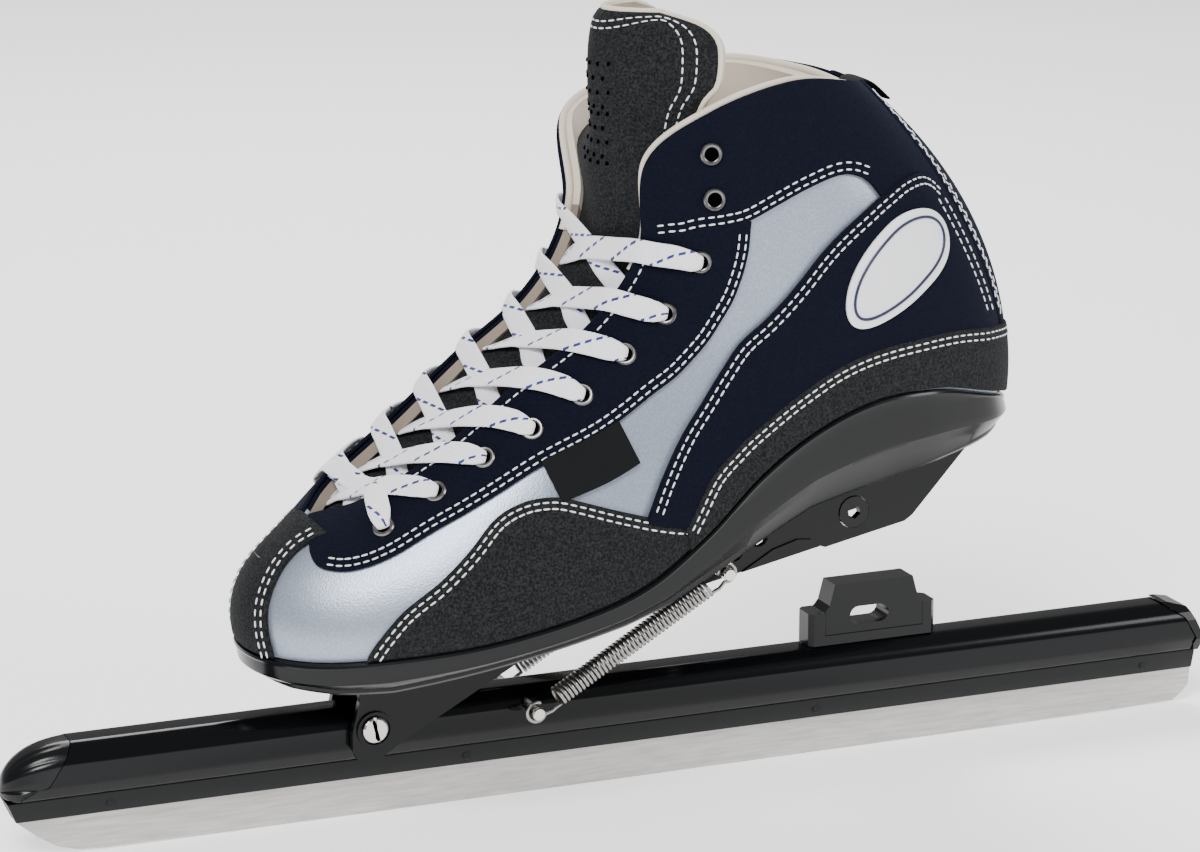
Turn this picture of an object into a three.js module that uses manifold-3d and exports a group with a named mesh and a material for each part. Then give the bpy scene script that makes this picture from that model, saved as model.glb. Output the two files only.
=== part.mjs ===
// Clap speed skate, left foot: a laced low boot on a bridge that swings on a hinge over a
// 412 mm blade, with two tension springs that pull the heel back onto the blade.
// Millimetres. X runs from toe (-) to heel (+) along the blade, Y from the outer side (-) of
// the foot to the inner side (+), Z up. The origin is the middle of the runner's ice edge.

import * as THREE from 'three';
import { mergeVertices } from 'three/addons/utils/BufferGeometryUtils.js';
import Module from 'manifold-3d';

const wasm = await Module();
wasm.setup();

// ---------------------------------------------------------------- driving dimensions

// Clearances
const GAP = 0.3;              // between pieces that rest on each other
const RUNNING_GAP = 0.3;      // radial, where one piece turns on another
const SLOT_GAP = 0.2;         // each side of the runner in its slot

// Runner and blade tube
const BLADE_FRONT = -203;     // front end of the runner and its holder
const BLADE_REAR = 207;       // rear end of the runner
const RUNNER_THICKNESS = 1.2;
const RUNNER_TOP = 19.2;
const ROCKER_RADIUS = 25000;
const FLAT_HALF_LENGTH = 20;  // middle stretch of the edge that is straight
const HOLDER_BOTTOM = 13.4;
const HOLDER_TOP = 20.3;
const HOLDER_HALF_FOOT = 4.2;
const HOLDER_HALF_TOP = 6;
const TUBE_BOTTOM = HOLDER_TOP + GAP;
const TUBE_TOP = 37.5;
const TUBE_HALF_WIDTH = 9.5;
const TUBE_HALF_TOP = 4.5;
const TUBE_WALL = 1.8;
const RIVET_RADIUS = 1.5;
const RIVET_Z = 16.6;
const RIVET_X = [-174, -58, 64, 186];

// Hinge
const HINGE_X = -91.3;
const HINGE_Z = 32;
const AXLE_RADIUS = 3.5;
const SLEEVE_WALL = 1.6;
const SLEEVE_STAND = 0.6;     // how far the bearing sleeve stands out of the tube's side
const SCREW_HEAD_RADIUS = 4.1;
const SCREW_HEAD_HEIGHT = 1.5;
const SCREW_SHANK_RADIUS = 1.5;
const SCREW_SHANK_LENGTH = 5;
const OPEN_ANGLE = 12;        // degrees that the boot stands open

// Bridge between hinge and boot
const PLATE_THICKNESS = 2.5;
const PLATE_INNER = TUBE_HALF_WIDTH + SLEEVE_STAND + GAP;
const PLATE_OUTER = PLATE_INNER + PLATE_THICKNESS;
const RING_RADIUS = 5.8;
const RING_HOLE = 4.9;
const RING_HEIGHT = 0.9;
const LIP_HEIGHT = 0.7;       // raised lower edge of the side plates
const WEB_FRONT_TOP = 47.9;   // under the ball of the foot
const WEB_FRONT_THICKNESS = 4.6;
const WEB_HEEL_TOP = 61.2;    // under the heel
const WEB_HEEL_THICKNESS = 2.9;
const LOCK_BUSH_X = 80;
const LOCK_BUSH_Z = 49.5;
const LOCK_BUSH_RADIUS = 5.2;
const LOCK_HEX_RADIUS = 2.3;

// Landing block on the tube
const BLOCK_FRONT = 61.4;
const BLOCK_REAR = 107;
const BLOCK_THICKNESS = 10;
const BLOCK_WEB_THICKNESS = 9.2;
const BLOCK_TOP = 58;
const BLOCK_SHOULDER = 48.8;
const BLOCK_FOOT_TOP = 41;
const BLOCK_SLOT_X = 83;
const BLOCK_SLOT_Z = 46.8;
const BLOCK_SLOT_LENGTH = 14;
const BLOCK_SLOT_HEIGHT = 6;
const BLOCK_SCREW_RADIUS = 1.8;
const BLOCK_SCREW_HEAD = 3;
const BLOCK_SCREW_LENGTH = 9;

// Springs
const LOWER_PIN = [-39.1, 32.4];
const UPPER_PIN = [31.5, 45.4];          // with the boot closed
const SPRING_PIN_RADIUS = 2.1;
const SPRING_WIRE = 1.2;
const SPRING_RADIUS = 3.5;
const SPRING_SIDE_GAP = 0.8;             // between a spring and the bridge's side plate
const SPRING_Y = PLATE_OUTER + SPRING_SIDE_GAP + SPRING_RADIUS;
const PIN_PAST_SPRING = 3.2;             // of each pin's end past the middle of its spring
const SPRING_PIN_REACH = SPRING_Y + PIN_PAST_SPRING;
const SPRING_TURNS = 14;
const SPRING_HOOK = 9;                   // from each pin to the first coil

// Boot
const SOLE_RIM = 2.2;          // how far the sole's rim stands out past the upper
const SOLE_RIM_INNER = 4.8;
const SOLE_FOREFOOT_Z = 48.3;
const SOLE_HEEL_Z = 61.6;
const SOLE_FLOOR = 6;
const INSOLE_THICKNESS = 3;
const BOLT_RADIUS = 2.75;
const BOLT_HEAD_RADIUS = 4.5;
const BOLT_HEAD_HEIGHT = 3.2;
const BOLT_REACH = 4.2;        // of each bolt above the bridge
const INSERT_RADIUS = 4.5;
const INSERT_HEIGHT = 4;
const BOLT_X = [-68, -42, 54, 114];
const LEATHER = 1.2;
const OVERLAY_STAND = 0.75;    // gap between the base leather and the panels sewn on it
const LINING_OUTER = 1.6;
const LINING_THICKNESS = 2.8;
const CENTRE_GAP = 0.3;        // each side of the centre seam
const HALF_ROWS = 6;           // facets up the side of the boot
const TONGUE_THICKNESS = 4;
const TONGUE_DEPTH = 5.8;      // below the outer face of the upper
const LACE_WIDTH = 7.5;
const LACE_THICKNESS = 1;
const BADGE_LENGTH = 46;
const BADGE_WIDTH = 25;
const BADGE_TILT = 27;
const LABEL_LENGTH = 26;
const LABEL_WIDTH = 12;
const LABEL_TILT = 7;

// ---------------------------------------------------------------- materials

const paint = (color, roughness, metalness) =>
  new THREE.MeshStandardMaterial({ color, roughness, metalness });

const STEEL = paint(0xc9c6c0, 0.35, 0.9);
const BRIGHT = paint(0xd8d4cc, 0.25, 1.0);
const GLOSS_BLACK = paint(0x0b0c0e, 0.15, 0.6);
const MATTE_BLACK = paint(0x1b1d20, 0.55, 0.2);
const ANODISED = paint(0x121316, 0.4, 0.7);
const SHELL_BLACK = paint(0x16181b, 0.3, 0.0);
const SUEDE_NAVY = paint(0x0c1226, 0.95, 0.0);
const NUBUCK_BLACK = paint(0x1d1f22, 0.95, 0.0);
const SILVER = paint(0xb4bdc9, 0.45, 0.3);
const LINING = paint(0xcabfb2, 0.9, 0.0);
const WHITE = paint(0xe6e6ea, 0.85, 0.0);

// ---------------------------------------------------------------- solids and booleans

function toSolid(geometry) {
  const plain = geometry.clone();
  plain.deleteAttribute('normal');
  plain.deleteAttribute('uv');
  const merged = mergeVertices(plain, 1e-4);
  const vertProperties = new Float32Array(merged.attributes.position.array);
  const triVerts = new Uint32Array(merged.index.array);
  return new wasm.Manifold(new wasm.Mesh({ numProp: 3, vertProperties, triVerts }));
}

function toGeometry(solid) {
  const mesh = solid.getMesh();
  const geometry = new THREE.BufferGeometry();
  geometry.setAttribute('position', new THREE.BufferAttribute(new Float32Array(mesh.vertProperties), 3));
  geometry.setIndex(new THREE.BufferAttribute(new Uint32Array(mesh.triVerts), 1));
  return geometry;
}

const join = (...geometries) =>
  toGeometry(geometries.map(toSolid).reduce((whole, piece) => whole.add(piece)));
const cut = (geometry, ...tools) =>
  toGeometry(tools.map(toSolid).reduce((whole, tool) => whole.subtract(tool), toSolid(geometry)));
const common = (...geometries) =>
  toGeometry(geometries.map(toSolid).reduce((whole, piece) => whole.intersect(piece)));

// A side profile of [x, z] points, extruded across the skate from yLow to yHigh.
function sideExtrusion(points, yLow, yHigh, holes = []) {
  const shape = new THREE.Shape(points.map(([x, z]) => new THREE.Vector2(x, z)));
  holes.forEach((hole) => shape.holes.push(hole));
  const geometry = new THREE.ExtrudeGeometry(shape, {
    depth: yHigh - yLow, bevelEnabled: false, curveSegments: 4,
  });
  geometry.rotateX(Math.PI / 2);
  geometry.translate(0, yHigh, 0);
  return geometry;
}

// A cross-section of [y, z] points, extruded along the blade from xLow to xHigh.
function lengthExtrusion(points, xLow, xHigh, hole) {
  const shape = new THREE.Shape(points.map(([y, z]) => new THREE.Vector2(y, z)));
  if (hole) shape.holes.push(new THREE.Path([...hole].reverse().map(([y, z]) => new THREE.Vector2(y, z))));
  const geometry = new THREE.ExtrudeGeometry(shape, { depth: xHigh - xLow, bevelEnabled: false });
  const axes = new THREE.Matrix4().makeBasis(
    new THREE.Vector3(0, 1, 0), new THREE.Vector3(0, 0, 1), new THREE.Vector3(1, 0, 0));
  geometry.applyMatrix4(axes);
  geometry.translate(xLow, 0, 0);
  return geometry;
}

// A plan outline of [x, y] points, extruded up from zLow to zHigh.
function planExtrusion(points, zLow, zHigh) {
  const shape = new THREE.Shape(points.map(([x, y]) => new THREE.Vector2(x, y)));
  const geometry = new THREE.ExtrudeGeometry(shape, { depth: zHigh - zLow, bevelEnabled: false });
  geometry.translate(0, 0, zLow);
  return geometry;
}

// A round bar across the skate, from yLow to yHigh at (x, z).
function crossBar(x, z, radius, yLow, yHigh, sides = 16) {
  const geometry = new THREE.CylinderGeometry(radius, radius, yHigh - yLow, sides);
  geometry.translate(x, (yLow + yHigh) / 2, z);
  return geometry;
}

// A round bar standing up, from zLow to zHigh at (x, y).
function uprightBar(x, y, radius, zLow, zHigh, sides = 12) {
  const geometry = new THREE.CylinderGeometry(radius, radius, zHigh - zLow, sides);
  geometry.rotateX(Math.PI / 2);
  geometry.translate(x, y, (zLow + zHigh) / 2);
  return geometry;
}

const mirrored = (half) => [...half, ...half.map(([y, z]) => [-y, z]).reverse()];

// A closed skin from a grid of points: rows x columns on the outer face, the same on the
// inner face, and the four edges between them.
function slab(outer, inner) {
  const rows = outer.length;
  const columns = outer[0].length;
  const positions = [];
  const index = [];
  for (const face of [outer, inner]) {
    for (const row of face) {
      for (const point of row) positions.push(point.x, point.y, point.z);
    }
  }
  const at = (layer, i, j) => layer * rows * columns + i * columns + j;
  const quad = (a, b, c, d) => index.push(a, b, c, a, c, d);
  for (let i = 0; i < rows - 1; i++) {
    for (let j = 0; j < columns - 1; j++) {
      quad(at(0, i, j), at(0, i, j + 1), at(0, i + 1, j + 1), at(0, i + 1, j));
      quad(at(1, i, j), at(1, i + 1, j), at(1, i + 1, j + 1), at(1, i, j + 1));
    }
  }
  for (let i = 0; i < rows - 1; i++) {
    quad(at(0, i, 0), at(0, i + 1, 0), at(1, i + 1, 0), at(1, i, 0));
    quad(at(0, i + 1, columns - 1), at(0, i, columns - 1), at(1, i, columns - 1), at(1, i + 1, columns - 1));
  }
  for (let j = 0; j < columns - 1; j++) {
    quad(at(0, 0, j + 1), at(0, 0, j), at(1, 0, j), at(1, 0, j + 1));
    quad(at(0, rows - 1, j), at(0, rows - 1, j + 1), at(1, rows - 1, j + 1), at(1, rows - 1, j));
  }
  const geometry = new THREE.BufferGeometry();
  geometry.setAttribute('position', new THREE.Float32BufferAttribute(positions, 3));
  geometry.setIndex(index);
  return outward(geometry);
}

// Turns a closed skin inside out if its faces point in.
function outward(geometry) {
  const p = geometry.attributes.position;
  const index = geometry.index.array;
  const a = new THREE.Vector3();
  const b = new THREE.Vector3();
  const c = new THREE.Vector3();
  let volume = 0;
  for (let k = 0; k < index.length; k += 3) {
    a.fromBufferAttribute(p, index[k]);
    b.fromBufferAttribute(p, index[k + 1]);
    c.fromBufferAttribute(p, index[k + 2]);
    volume += a.dot(b.cross(c));
  }
  if (volume < 0) {
    for (let k = 0; k < index.length; k += 3) {
      [index[k + 1], index[k + 2]] = [index[k + 2], index[k + 1]];
    }
  }
  return geometry;
}

// Height at place x on a line through [x, z] points.
function between(points, x) {
  const next = points.findIndex(([at]) => at > x);
  const k = next < 0 ? points.length - 1 : Math.max(next, 1);
  const [x0, z0] = points[k - 1];
  const [x1, z1] = points[k];
  return z0 + (z1 - z0) * Math.min(Math.max((x - x0) / (x1 - x0), 0), 1);
}

// ---------------------------------------------------------------- nodes

const skate = new THREE.Group();
const boot = new THREE.Group();
skate.add(boot);

function addNode(parent, name, geometry, material) {
  const mesh = new THREE.Mesh(geometry, material);
  mesh.name = name;
  parent.add(mesh);
  return mesh;
}

// ---------------------------------------------------------------- blade

const edgeZ = (x) => Math.max(0, Math.abs(x) - FLAT_HALF_LENGTH) ** 2 / (2 * ROCKER_RADIUS);

function runnerProfile() {
  const front = [[0, 12.7], [7, 6.8], [13, 3], [19.5, 1.1]].map(([x, z]) => [BLADE_FRONT + x, z]);
  const rear = [[-6.5, 0.9], [-2.6, 3.7], [-0.6, 6], [0, 11.7]].map(([x, z]) => [BLADE_REAR + x, z]);
  const edge = [-175, -130, -85, -FLAT_HALF_LENGTH, FLAT_HALF_LENGTH, 85, 130, 175].map((x) => [x, edgeZ(x)]);
  return [...front, ...edge, ...rear, [BLADE_REAR - 3, RUNNER_TOP], [BLADE_FRONT + 4, RUNNER_TOP]];
}

function rivetHoles(halfLength) {
  return RIVET_X.map((x) => crossBar(x, RIVET_Z, RIVET_RADIUS + GAP, -halfLength, halfLength, 10));
}

function runner() {
  const half = RUNNER_THICKNESS / 2;
  return cut(sideExtrusion(runnerProfile(), -half, half), ...rivetHoles(2));
}

function bladeHolder() {
  const slot = RUNNER_THICKNESS / 2 + SLOT_GAP;
  const half = [[HOLDER_HALF_TOP, HOLDER_TOP], [HOLDER_HALF_FOOT, HOLDER_BOTTOM], [slot, HOLDER_BOTTOM],
    [slot, RUNNER_TOP + GAP]];
  const ends = [[BLADE_FRONT - 1, HOLDER_TOP], [BLADE_FRONT + 2.4, HOLDER_BOTTOM],
    [BLADE_REAR - 1.7, HOLDER_BOTTOM], [BLADE_REAR - 1.7, HOLDER_TOP]];
  const section = lengthExtrusion(mirrored(half), BLADE_FRONT - 2, BLADE_REAR);
  return cut(common(section, sideExtrusion(ends, -10, 10)), ...rivetHoles(10));
}

const tubeSection = (shrink) => mirrored([
  [TUBE_HALF_TOP - shrink * 0.5, TUBE_TOP - shrink],
  [TUBE_HALF_TOP + 3.8 - shrink * 0.9, TUBE_TOP - 3 - shrink * 0.4],
  [TUBE_HALF_WIDTH - shrink, TUBE_TOP - 5.5],
  [TUBE_HALF_WIDTH - shrink, TUBE_BOTTOM + 5],
  [TUBE_HALF_WIDTH - 2.5 - shrink * 0.7, TUBE_BOTTOM + 0.5 + shrink * 0.6],
  [TUBE_HALF_WIDTH - 3.1 - shrink * 0.7, TUBE_BOTTOM + shrink * 0.9],
]);

// Where the tube is cut to take the two end caps, as [x, z] from top to bottom.
const FRONT_SEAM = [[-184.3, TUBE_TOP + 2], [-194.1, 25], [-202.2, 23.7]];
const REAR_SEAM = [[190.2, TUBE_TOP + 2], [199, 33.2], [203.4, 25.6], [202.9, 23.2]];

function bladeTube() {
  const section = lengthExtrusion(tubeSection(0), -215, 215, tubeSection(TUBE_WALL));
  const ends = [...FRONT_SEAM, [FRONT_SEAM[2][0], TUBE_BOTTOM - 1],
    [REAR_SEAM[3][0], TUBE_BOTTOM - 1], ...[...REAR_SEAM].reverse()];
  const sleeve = AXLE_RADIUS + RUNNING_GAP + SLEEVE_WALL + GAP;
  return cut(common(section, sideExtrusion(ends, -15, 15)),
    crossBar(HINGE_X, HINGE_Z, sleeve, -15, 15),
    crossBar(...LOWER_PIN, SPRING_PIN_RADIUS + GAP, -15, 15),
    ...blockScrewX.map((x) => uprightBar(x, 0, BLOCK_SCREW_RADIUS + GAP, TUBE_TOP - 5, TUBE_TOP + 1)));
}

const capSection = () => mirrored([
  [TUBE_HALF_TOP + 0.2, TUBE_TOP + 0.5], [TUBE_HALF_TOP + 4.2, TUBE_TOP - 2.7],
  [TUBE_HALF_WIDTH + 0.5, TUBE_TOP - 5.3], [TUBE_HALF_WIDTH + 0.5, TUBE_BOTTOM + 4.6],
  [TUBE_HALF_WIDTH - 2.2, TUBE_BOTTOM],
]);

function frontCap() {
  const side = [[-208, 25.8], [-205.2, 30.2], [-199.5, 34.8], [-192, 37.4],
    ...FRONT_SEAM.map(([x, z]) => [x - GAP, z]), [FRONT_SEAM[2][0] - GAP, TUBE_BOTTOM], [-205, TUBE_BOTTOM]];
  const plan = mirrored([[10.5, -180], [9.8, -193], [7.2, -200.5], [3.6, -205.5], [1, -209]])
    .map(([y, x]) => [x, y]);
  return common(sideExtrusion(side, -12, 12), lengthExtrusion(capSection(), -215, -180),
    planExtrusion(plan, 0, 60));
}

function rearCap() {
  const side = [[193, 38.4], [201, 36.3], [206.6, 25.6], [205.9, TUBE_BOTTOM], [204, TUBE_BOTTOM],
    ...[...REAR_SEAM].reverse().map(([x, z]) => [x + GAP, z])];
  return common(sideExtrusion(side, -12, 12), lengthExtrusion(capSection(), 185, 215));
}

const blockScrewX = [BLOCK_FRONT + 3.4, BLOCK_REAR - 3.2];

function landingBlock() {
  const bottom = TUBE_TOP + GAP;
  const slotEnd = BLOCK_SLOT_HEIGHT / 2;
  const slotReach = BLOCK_SLOT_LENGTH / 2 - slotEnd;
  const slot = new THREE.Path();
  slot.absarc(BLOCK_SLOT_X + slotReach, BLOCK_SLOT_Z, slotEnd, -Math.PI / 2, Math.PI / 2);
  slot.absarc(BLOCK_SLOT_X - slotReach, BLOCK_SLOT_Z, slotEnd, Math.PI / 2, Math.PI * 1.5);
  const web = sideExtrusion([[BLOCK_FRONT + 4, bottom], [BLOCK_REAR - 3.5, bottom],
    [BLOCK_REAR - 4.6, BLOCK_SHOULDER], [BLOCK_REAR - 6.2, BLOCK_SHOULDER + 1.4],
    [BLOCK_REAR - 8.4, BLOCK_TOP], [BLOCK_FRONT + 9, BLOCK_TOP],
    [BLOCK_FRONT + 7.2, BLOCK_SHOULDER + 2.2], [BLOCK_FRONT + 5.4, BLOCK_SHOULDER]],
  -BLOCK_WEB_THICKNESS / 2, BLOCK_WEB_THICKNESS / 2, [slot]);
  const half = BLOCK_THICKNESS / 2;
  const post = (x0, x1, top) => planExtrusion([[x0 + 1.5, -half], [x1 - 1.5, -half], [x1, 1.5 - half],
    [x1, half - 1.5], [x1 - 1.5, half], [x0 + 1.5, half], [x0, half - 1.5], [x0, 1.5 - half]], bottom, top);
  const body = join(web, post(BLOCK_FRONT, BLOCK_FRONT + 7, BLOCK_SHOULDER),
    post(BLOCK_REAR - 6, BLOCK_REAR, BLOCK_SHOULDER), post(BLOCK_FRONT + 1, BLOCK_REAR - 1, BLOCK_FOOT_TOP));
  const screws = blockScrewX.map((x) =>
    uprightBar(x, 0, BLOCK_SCREW_RADIUS + GAP, bottom - 1,
      TUBE_TOP - TUBE_WALL + BLOCK_SCREW_LENGTH + GAP, 8));
  return cut(body, ...screws);
}

// Countersunk from inside the tube, up into the landing block.
function blockScrew(x) {
  const under = TUBE_TOP - TUBE_WALL - GAP;
  const profile = [[0, under - 2], [BLOCK_SCREW_HEAD, under - 2], [BLOCK_SCREW_HEAD, under],
    [BLOCK_SCREW_RADIUS, under], [BLOCK_SCREW_RADIUS, under + BLOCK_SCREW_LENGTH],
    [0, under + BLOCK_SCREW_LENGTH]];
  return latheUp(profile, x, 0, 8);
}

function latheUp(profile, x, y, sides) {
  const geometry = new THREE.LatheGeometry(profile.map(([r, z]) => new THREE.Vector2(r, z)), sides);
  geometry.rotateX(Math.PI / 2);
  geometry.translate(x, y, 0);
  return toGeometry(toSolid(geometry));
}

// A turned piece on an axis across the skate; the profile is [radius, distance along +Y].
function latheAcross(profile, x, z, sides = 16) {
  const geometry = new THREE.LatheGeometry(profile.map(([r, y]) => new THREE.Vector2(r, y)), sides);
  geometry.translate(x, 0, z);
  return toGeometry(toSolid(geometry));
}

addNode(skate, 'runner', runner(), STEEL);
addNode(skate, 'blade_holder', bladeHolder(), MATTE_BLACK);
addNode(skate, 'blade_tube', bladeTube(), GLOSS_BLACK);
RIVET_X.forEach((x, k) => {
  addNode(skate, `holder_rivet_${k + 1}`, crossBar(x, RIVET_Z, RIVET_RADIUS, -5.2, 5.2, 10), MATTE_BLACK);
});
addNode(skate, 'front_end_cap', frontCap(), SHELL_BLACK);
addNode(skate, 'rear_end_cap', rearCap(), SHELL_BLACK);
addNode(skate, 'landing_block', landingBlock(), MATTE_BLACK);
blockScrewX.forEach((x, k) => addNode(skate, `block_screw_${k + 1}`, blockScrew(x), BRIGHT));

// ---------------------------------------------------------------- hinge and bridge

function hingeSleeve() {
  const reach = TUBE_HALF_WIDTH + SLEEVE_STAND;
  const inner = AXLE_RADIUS + RUNNING_GAP;
  const outer = inner + SLEEVE_WALL;
  return latheAcross([[inner, -reach], [outer, -reach], [outer, reach], [inner, reach], [inner, -reach]],
    HINGE_X, HINGE_Z);
}

function hingeAxle() {
  const bore = SCREW_SHANK_RADIUS + GAP;
  const end = PLATE_OUTER;
  const depth = end - SCREW_SHANK_LENGTH - GAP;
  return latheAcross([[0, -depth], [bore, -depth], [bore, -end], [AXLE_RADIUS, -end], [AXLE_RADIUS, end],
    [bore, end], [bore, depth], [0, depth]], HINGE_X, HINGE_Z);
}

function hingeScrew(side) {
  const seat = PLATE_OUTER + GAP;
  const head = latheAcross([[0, seat - SCREW_SHANK_LENGTH], [SCREW_SHANK_RADIUS, seat - SCREW_SHANK_LENGTH],
    [SCREW_SHANK_RADIUS, seat], [SCREW_HEAD_RADIUS, seat],
    [SCREW_HEAD_RADIUS, seat + SCREW_HEAD_HEIGHT * 0.7],
    [SCREW_HEAD_RADIUS - 0.5, seat + SCREW_HEAD_HEIGHT], [0, seat + SCREW_HEAD_HEIGHT]], 0, 0);
  const slot = new THREE.BoxGeometry(0.9, 1.6, 12);
  slot.translate(0, seat + SCREW_HEAD_HEIGHT, 0);
  slot.rotateY(-0.15);
  const screw = cut(head, slot);
  if (side < 0) screw.rotateX(Math.PI);
  screw.translate(HINGE_X, 0, HINGE_Z);
  return screw;
}

// Outline of one side plate, from the hinge arm along the lower edge to the heel and back
// under the sole. The boot is closed in this drawing.
const PLATE_OUTLINE = [
  [-99.6, 27.2], [-98.6, 23.6], [-95.6, 21.6], [-91.5, 21.9], [-82.8, 25.2], [-42.6, 37.1], [-32, 41.2],
  [-22, 42.4], [66, 42.2], [68, 41], [97, 40.8], [100, 42], [123.4, 58.8], [124.5, WEB_HEEL_TOP],
  [62, WEB_HEEL_TOP], [46, 58.4], [22, 53], [4, 49.3], [-12, WEB_FRONT_TOP], [-93, WEB_FRONT_TOP],
  [-94, 42], [-98.4, 33],
];
const WEB_TOP_LINE = [[-93, WEB_FRONT_TOP], [-12, WEB_FRONT_TOP], [4, 49.3], [22, 53], [46, 58.4],
  [62, WEB_HEEL_TOP], [124.5, WEB_HEEL_TOP]];
const WEB_UNDER_LINE = [[-93, WEB_FRONT_TOP - WEB_FRONT_THICKNESS],
  [-12, WEB_FRONT_TOP - WEB_FRONT_THICKNESS],
  [6, 45], [25, 49.2], [47, 54.6], [63, WEB_HEEL_TOP - WEB_HEEL_THICKNESS],
  [124.5, WEB_HEEL_TOP - WEB_HEEL_THICKNESS]];
const LIP_OUTLINE = [[38, 42.3], [66, 42.2], [63.5, 45.4], [59, 46.8], [50, 46.2]];
const PLATE_HOLES = [[36.9, 49.4, 3.2], [46.2, 51.8, 3.4]];

function bridge() {
  const sides = [-1, 1].map((side) => {
    const low = side < 0 ? -PLATE_OUTER : PLATE_INNER;
    const outerFace = side < 0 ? -PLATE_OUTER - LIP_HEIGHT : PLATE_OUTER - 0.5;
    const ringLow = side < 0 ? -PLATE_OUTER - RING_HEIGHT : PLATE_OUTER - 0.5;
    return join(sideExtrusion(PLATE_OUTLINE, low, low + PLATE_THICKNESS),
      sideExtrusion(LIP_OUTLINE, outerFace, outerFace + LIP_HEIGHT + 0.5),
      crossBar(HINGE_X, HINGE_Z, RING_RADIUS, ringLow, ringLow + RING_HEIGHT + 0.5, 20));
  });
  const web = sideExtrusion([...WEB_UNDER_LINE, ...[...WEB_TOP_LINE].reverse()], -PLATE_OUTER, PLATE_OUTER);
  const body = join(...sides, web);
  return cut(body,
    crossBar(HINGE_X, HINGE_Z, AXLE_RADIUS + GAP, -30, 30, 16),
    crossBar(HINGE_X, HINGE_Z, RING_HOLE, PLATE_OUTER, 30, 20),
    crossBar(HINGE_X, HINGE_Z, RING_HOLE, -30, -PLATE_OUTER, 20),
    crossBar(...UPPER_PIN, SPRING_PIN_RADIUS + GAP, -30, 30, 12),
    crossBar(LOCK_BUSH_X, LOCK_BUSH_Z, LOCK_BUSH_RADIUS + GAP, -30, 30, 16),
    ...PLATE_HOLES.map(([x, z, radius]) => crossBar(x, z, radius, -30, 30, 12)),
    ...BOLT_X.map((x) => uprightBar(x, 0, BOLT_RADIUS + GAP, 30, 90, 10)));
}

// Bush in each side plate for the screw that locks the heel down for gliding.
function lockBush(side) {
  const bush = cut(crossBar(LOCK_BUSH_X, LOCK_BUSH_Z, LOCK_BUSH_RADIUS, PLATE_INNER, PLATE_OUTER + 0.4, 16),
    crossBar(LOCK_BUSH_X, LOCK_BUSH_Z, LOCK_HEX_RADIUS, 0, 30, 6));
  if (side < 0) bush.applyMatrix4(new THREE.Matrix4().makeScale(1, -1, 1));
  return outward(bush);
}

function springPin([x, z]) {
  const r = SPRING_PIN_RADIUS;
  const end = SPRING_PIN_REACH;
  return latheAcross([[0, -end], [r - 0.3, -end], [r, -end + 0.4],
    [r, end - 0.4], [r - 0.3, end], [0, end]], x, z, 12);
}

function mountBolt(x) {
  const seat = between(WEB_UNDER_LINE, x - BOLT_HEAD_RADIUS) - GAP;
  const tip = between(WEB_TOP_LINE, x) + BOLT_REACH;
  return latheUp([[0, seat - BOLT_HEAD_HEIGHT], [BOLT_HEAD_RADIUS, seat - BOLT_HEAD_HEIGHT],
    [BOLT_HEAD_RADIUS, seat], [BOLT_RADIUS, seat], [BOLT_RADIUS, tip], [0, tip]], x, 0, 10);
}

// Threaded insert moulded into the sole around each bolt.
function soleInsert(x) {
  const low = soleBottomZ(x) + 0.3;
  const inner = BOLT_RADIUS + GAP;
  return latheUp([[inner, low], [INSERT_RADIUS, low], [INSERT_RADIUS, low + INSERT_HEIGHT],
    [inner, low + INSERT_HEIGHT], [inner, low]], x, 0, 10);
}

// ---------------------------------------------------------------- springs

const closedToOpen = ([x, z]) => {
  const angle = THREE.MathUtils.degToRad(OPEN_ANGLE);
  const dx = x - HINGE_X;
  const dz = z - HINGE_Z;
  return [HINGE_X + dx * Math.cos(angle) - dz * Math.sin(angle),
    HINGE_Z + dx * Math.sin(angle) + dz * Math.cos(angle)];
};

// A close-wound tension spring with an eye round each pin.
function tensionSpring(side) {
  const [x0, z0] = LOWER_PIN;
  const [x1, z1] = closedToOpen(UPPER_PIN);
  const length = Math.hypot(x1 - x0, z1 - z0);
  const eye = SPRING_PIN_RADIUS + SPRING_WIRE / 2 + GAP;
  const centre = SPRING_RADIUS - SPRING_WIRE / 2;
  const points = [];
  const eyeTurn = (from, to, at) => {
    for (let k = 0; k <= 7; k++) {
      const angle = THREE.MathUtils.degToRad(from + (to - from) * k / 7);
      points.push(new THREE.Vector3(at + eye * Math.cos(angle), 0, eye * Math.sin(angle)));
    }
  };
  eyeTurn(-40, -300, 0);
  points.push(new THREE.Vector3(SPRING_HOOK - 2.5, 0, centre * 0.8));
  const steps = SPRING_TURNS * 6;
  for (let k = 0; k <= steps; k++) {
    const turn = k / steps * SPRING_TURNS * Math.PI * 2;
    const along = SPRING_HOOK + (length - 2 * SPRING_HOOK) * k / steps;
    points.push(new THREE.Vector3(along, centre * Math.sin(turn), centre * Math.cos(turn)));
  }
  points.push(new THREE.Vector3(length - SPRING_HOOK + 2.5, 0, centre * 0.8));
  eyeTurn(120, -140, length);
  const geometry = wireAlong(points, SPRING_WIRE / 2, 4);
  geometry.rotateY(-Math.atan2(z1 - z0, x1 - x0));
  geometry.translate(x0, side * SPRING_Y, z0);
  return geometry;
}

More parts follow.
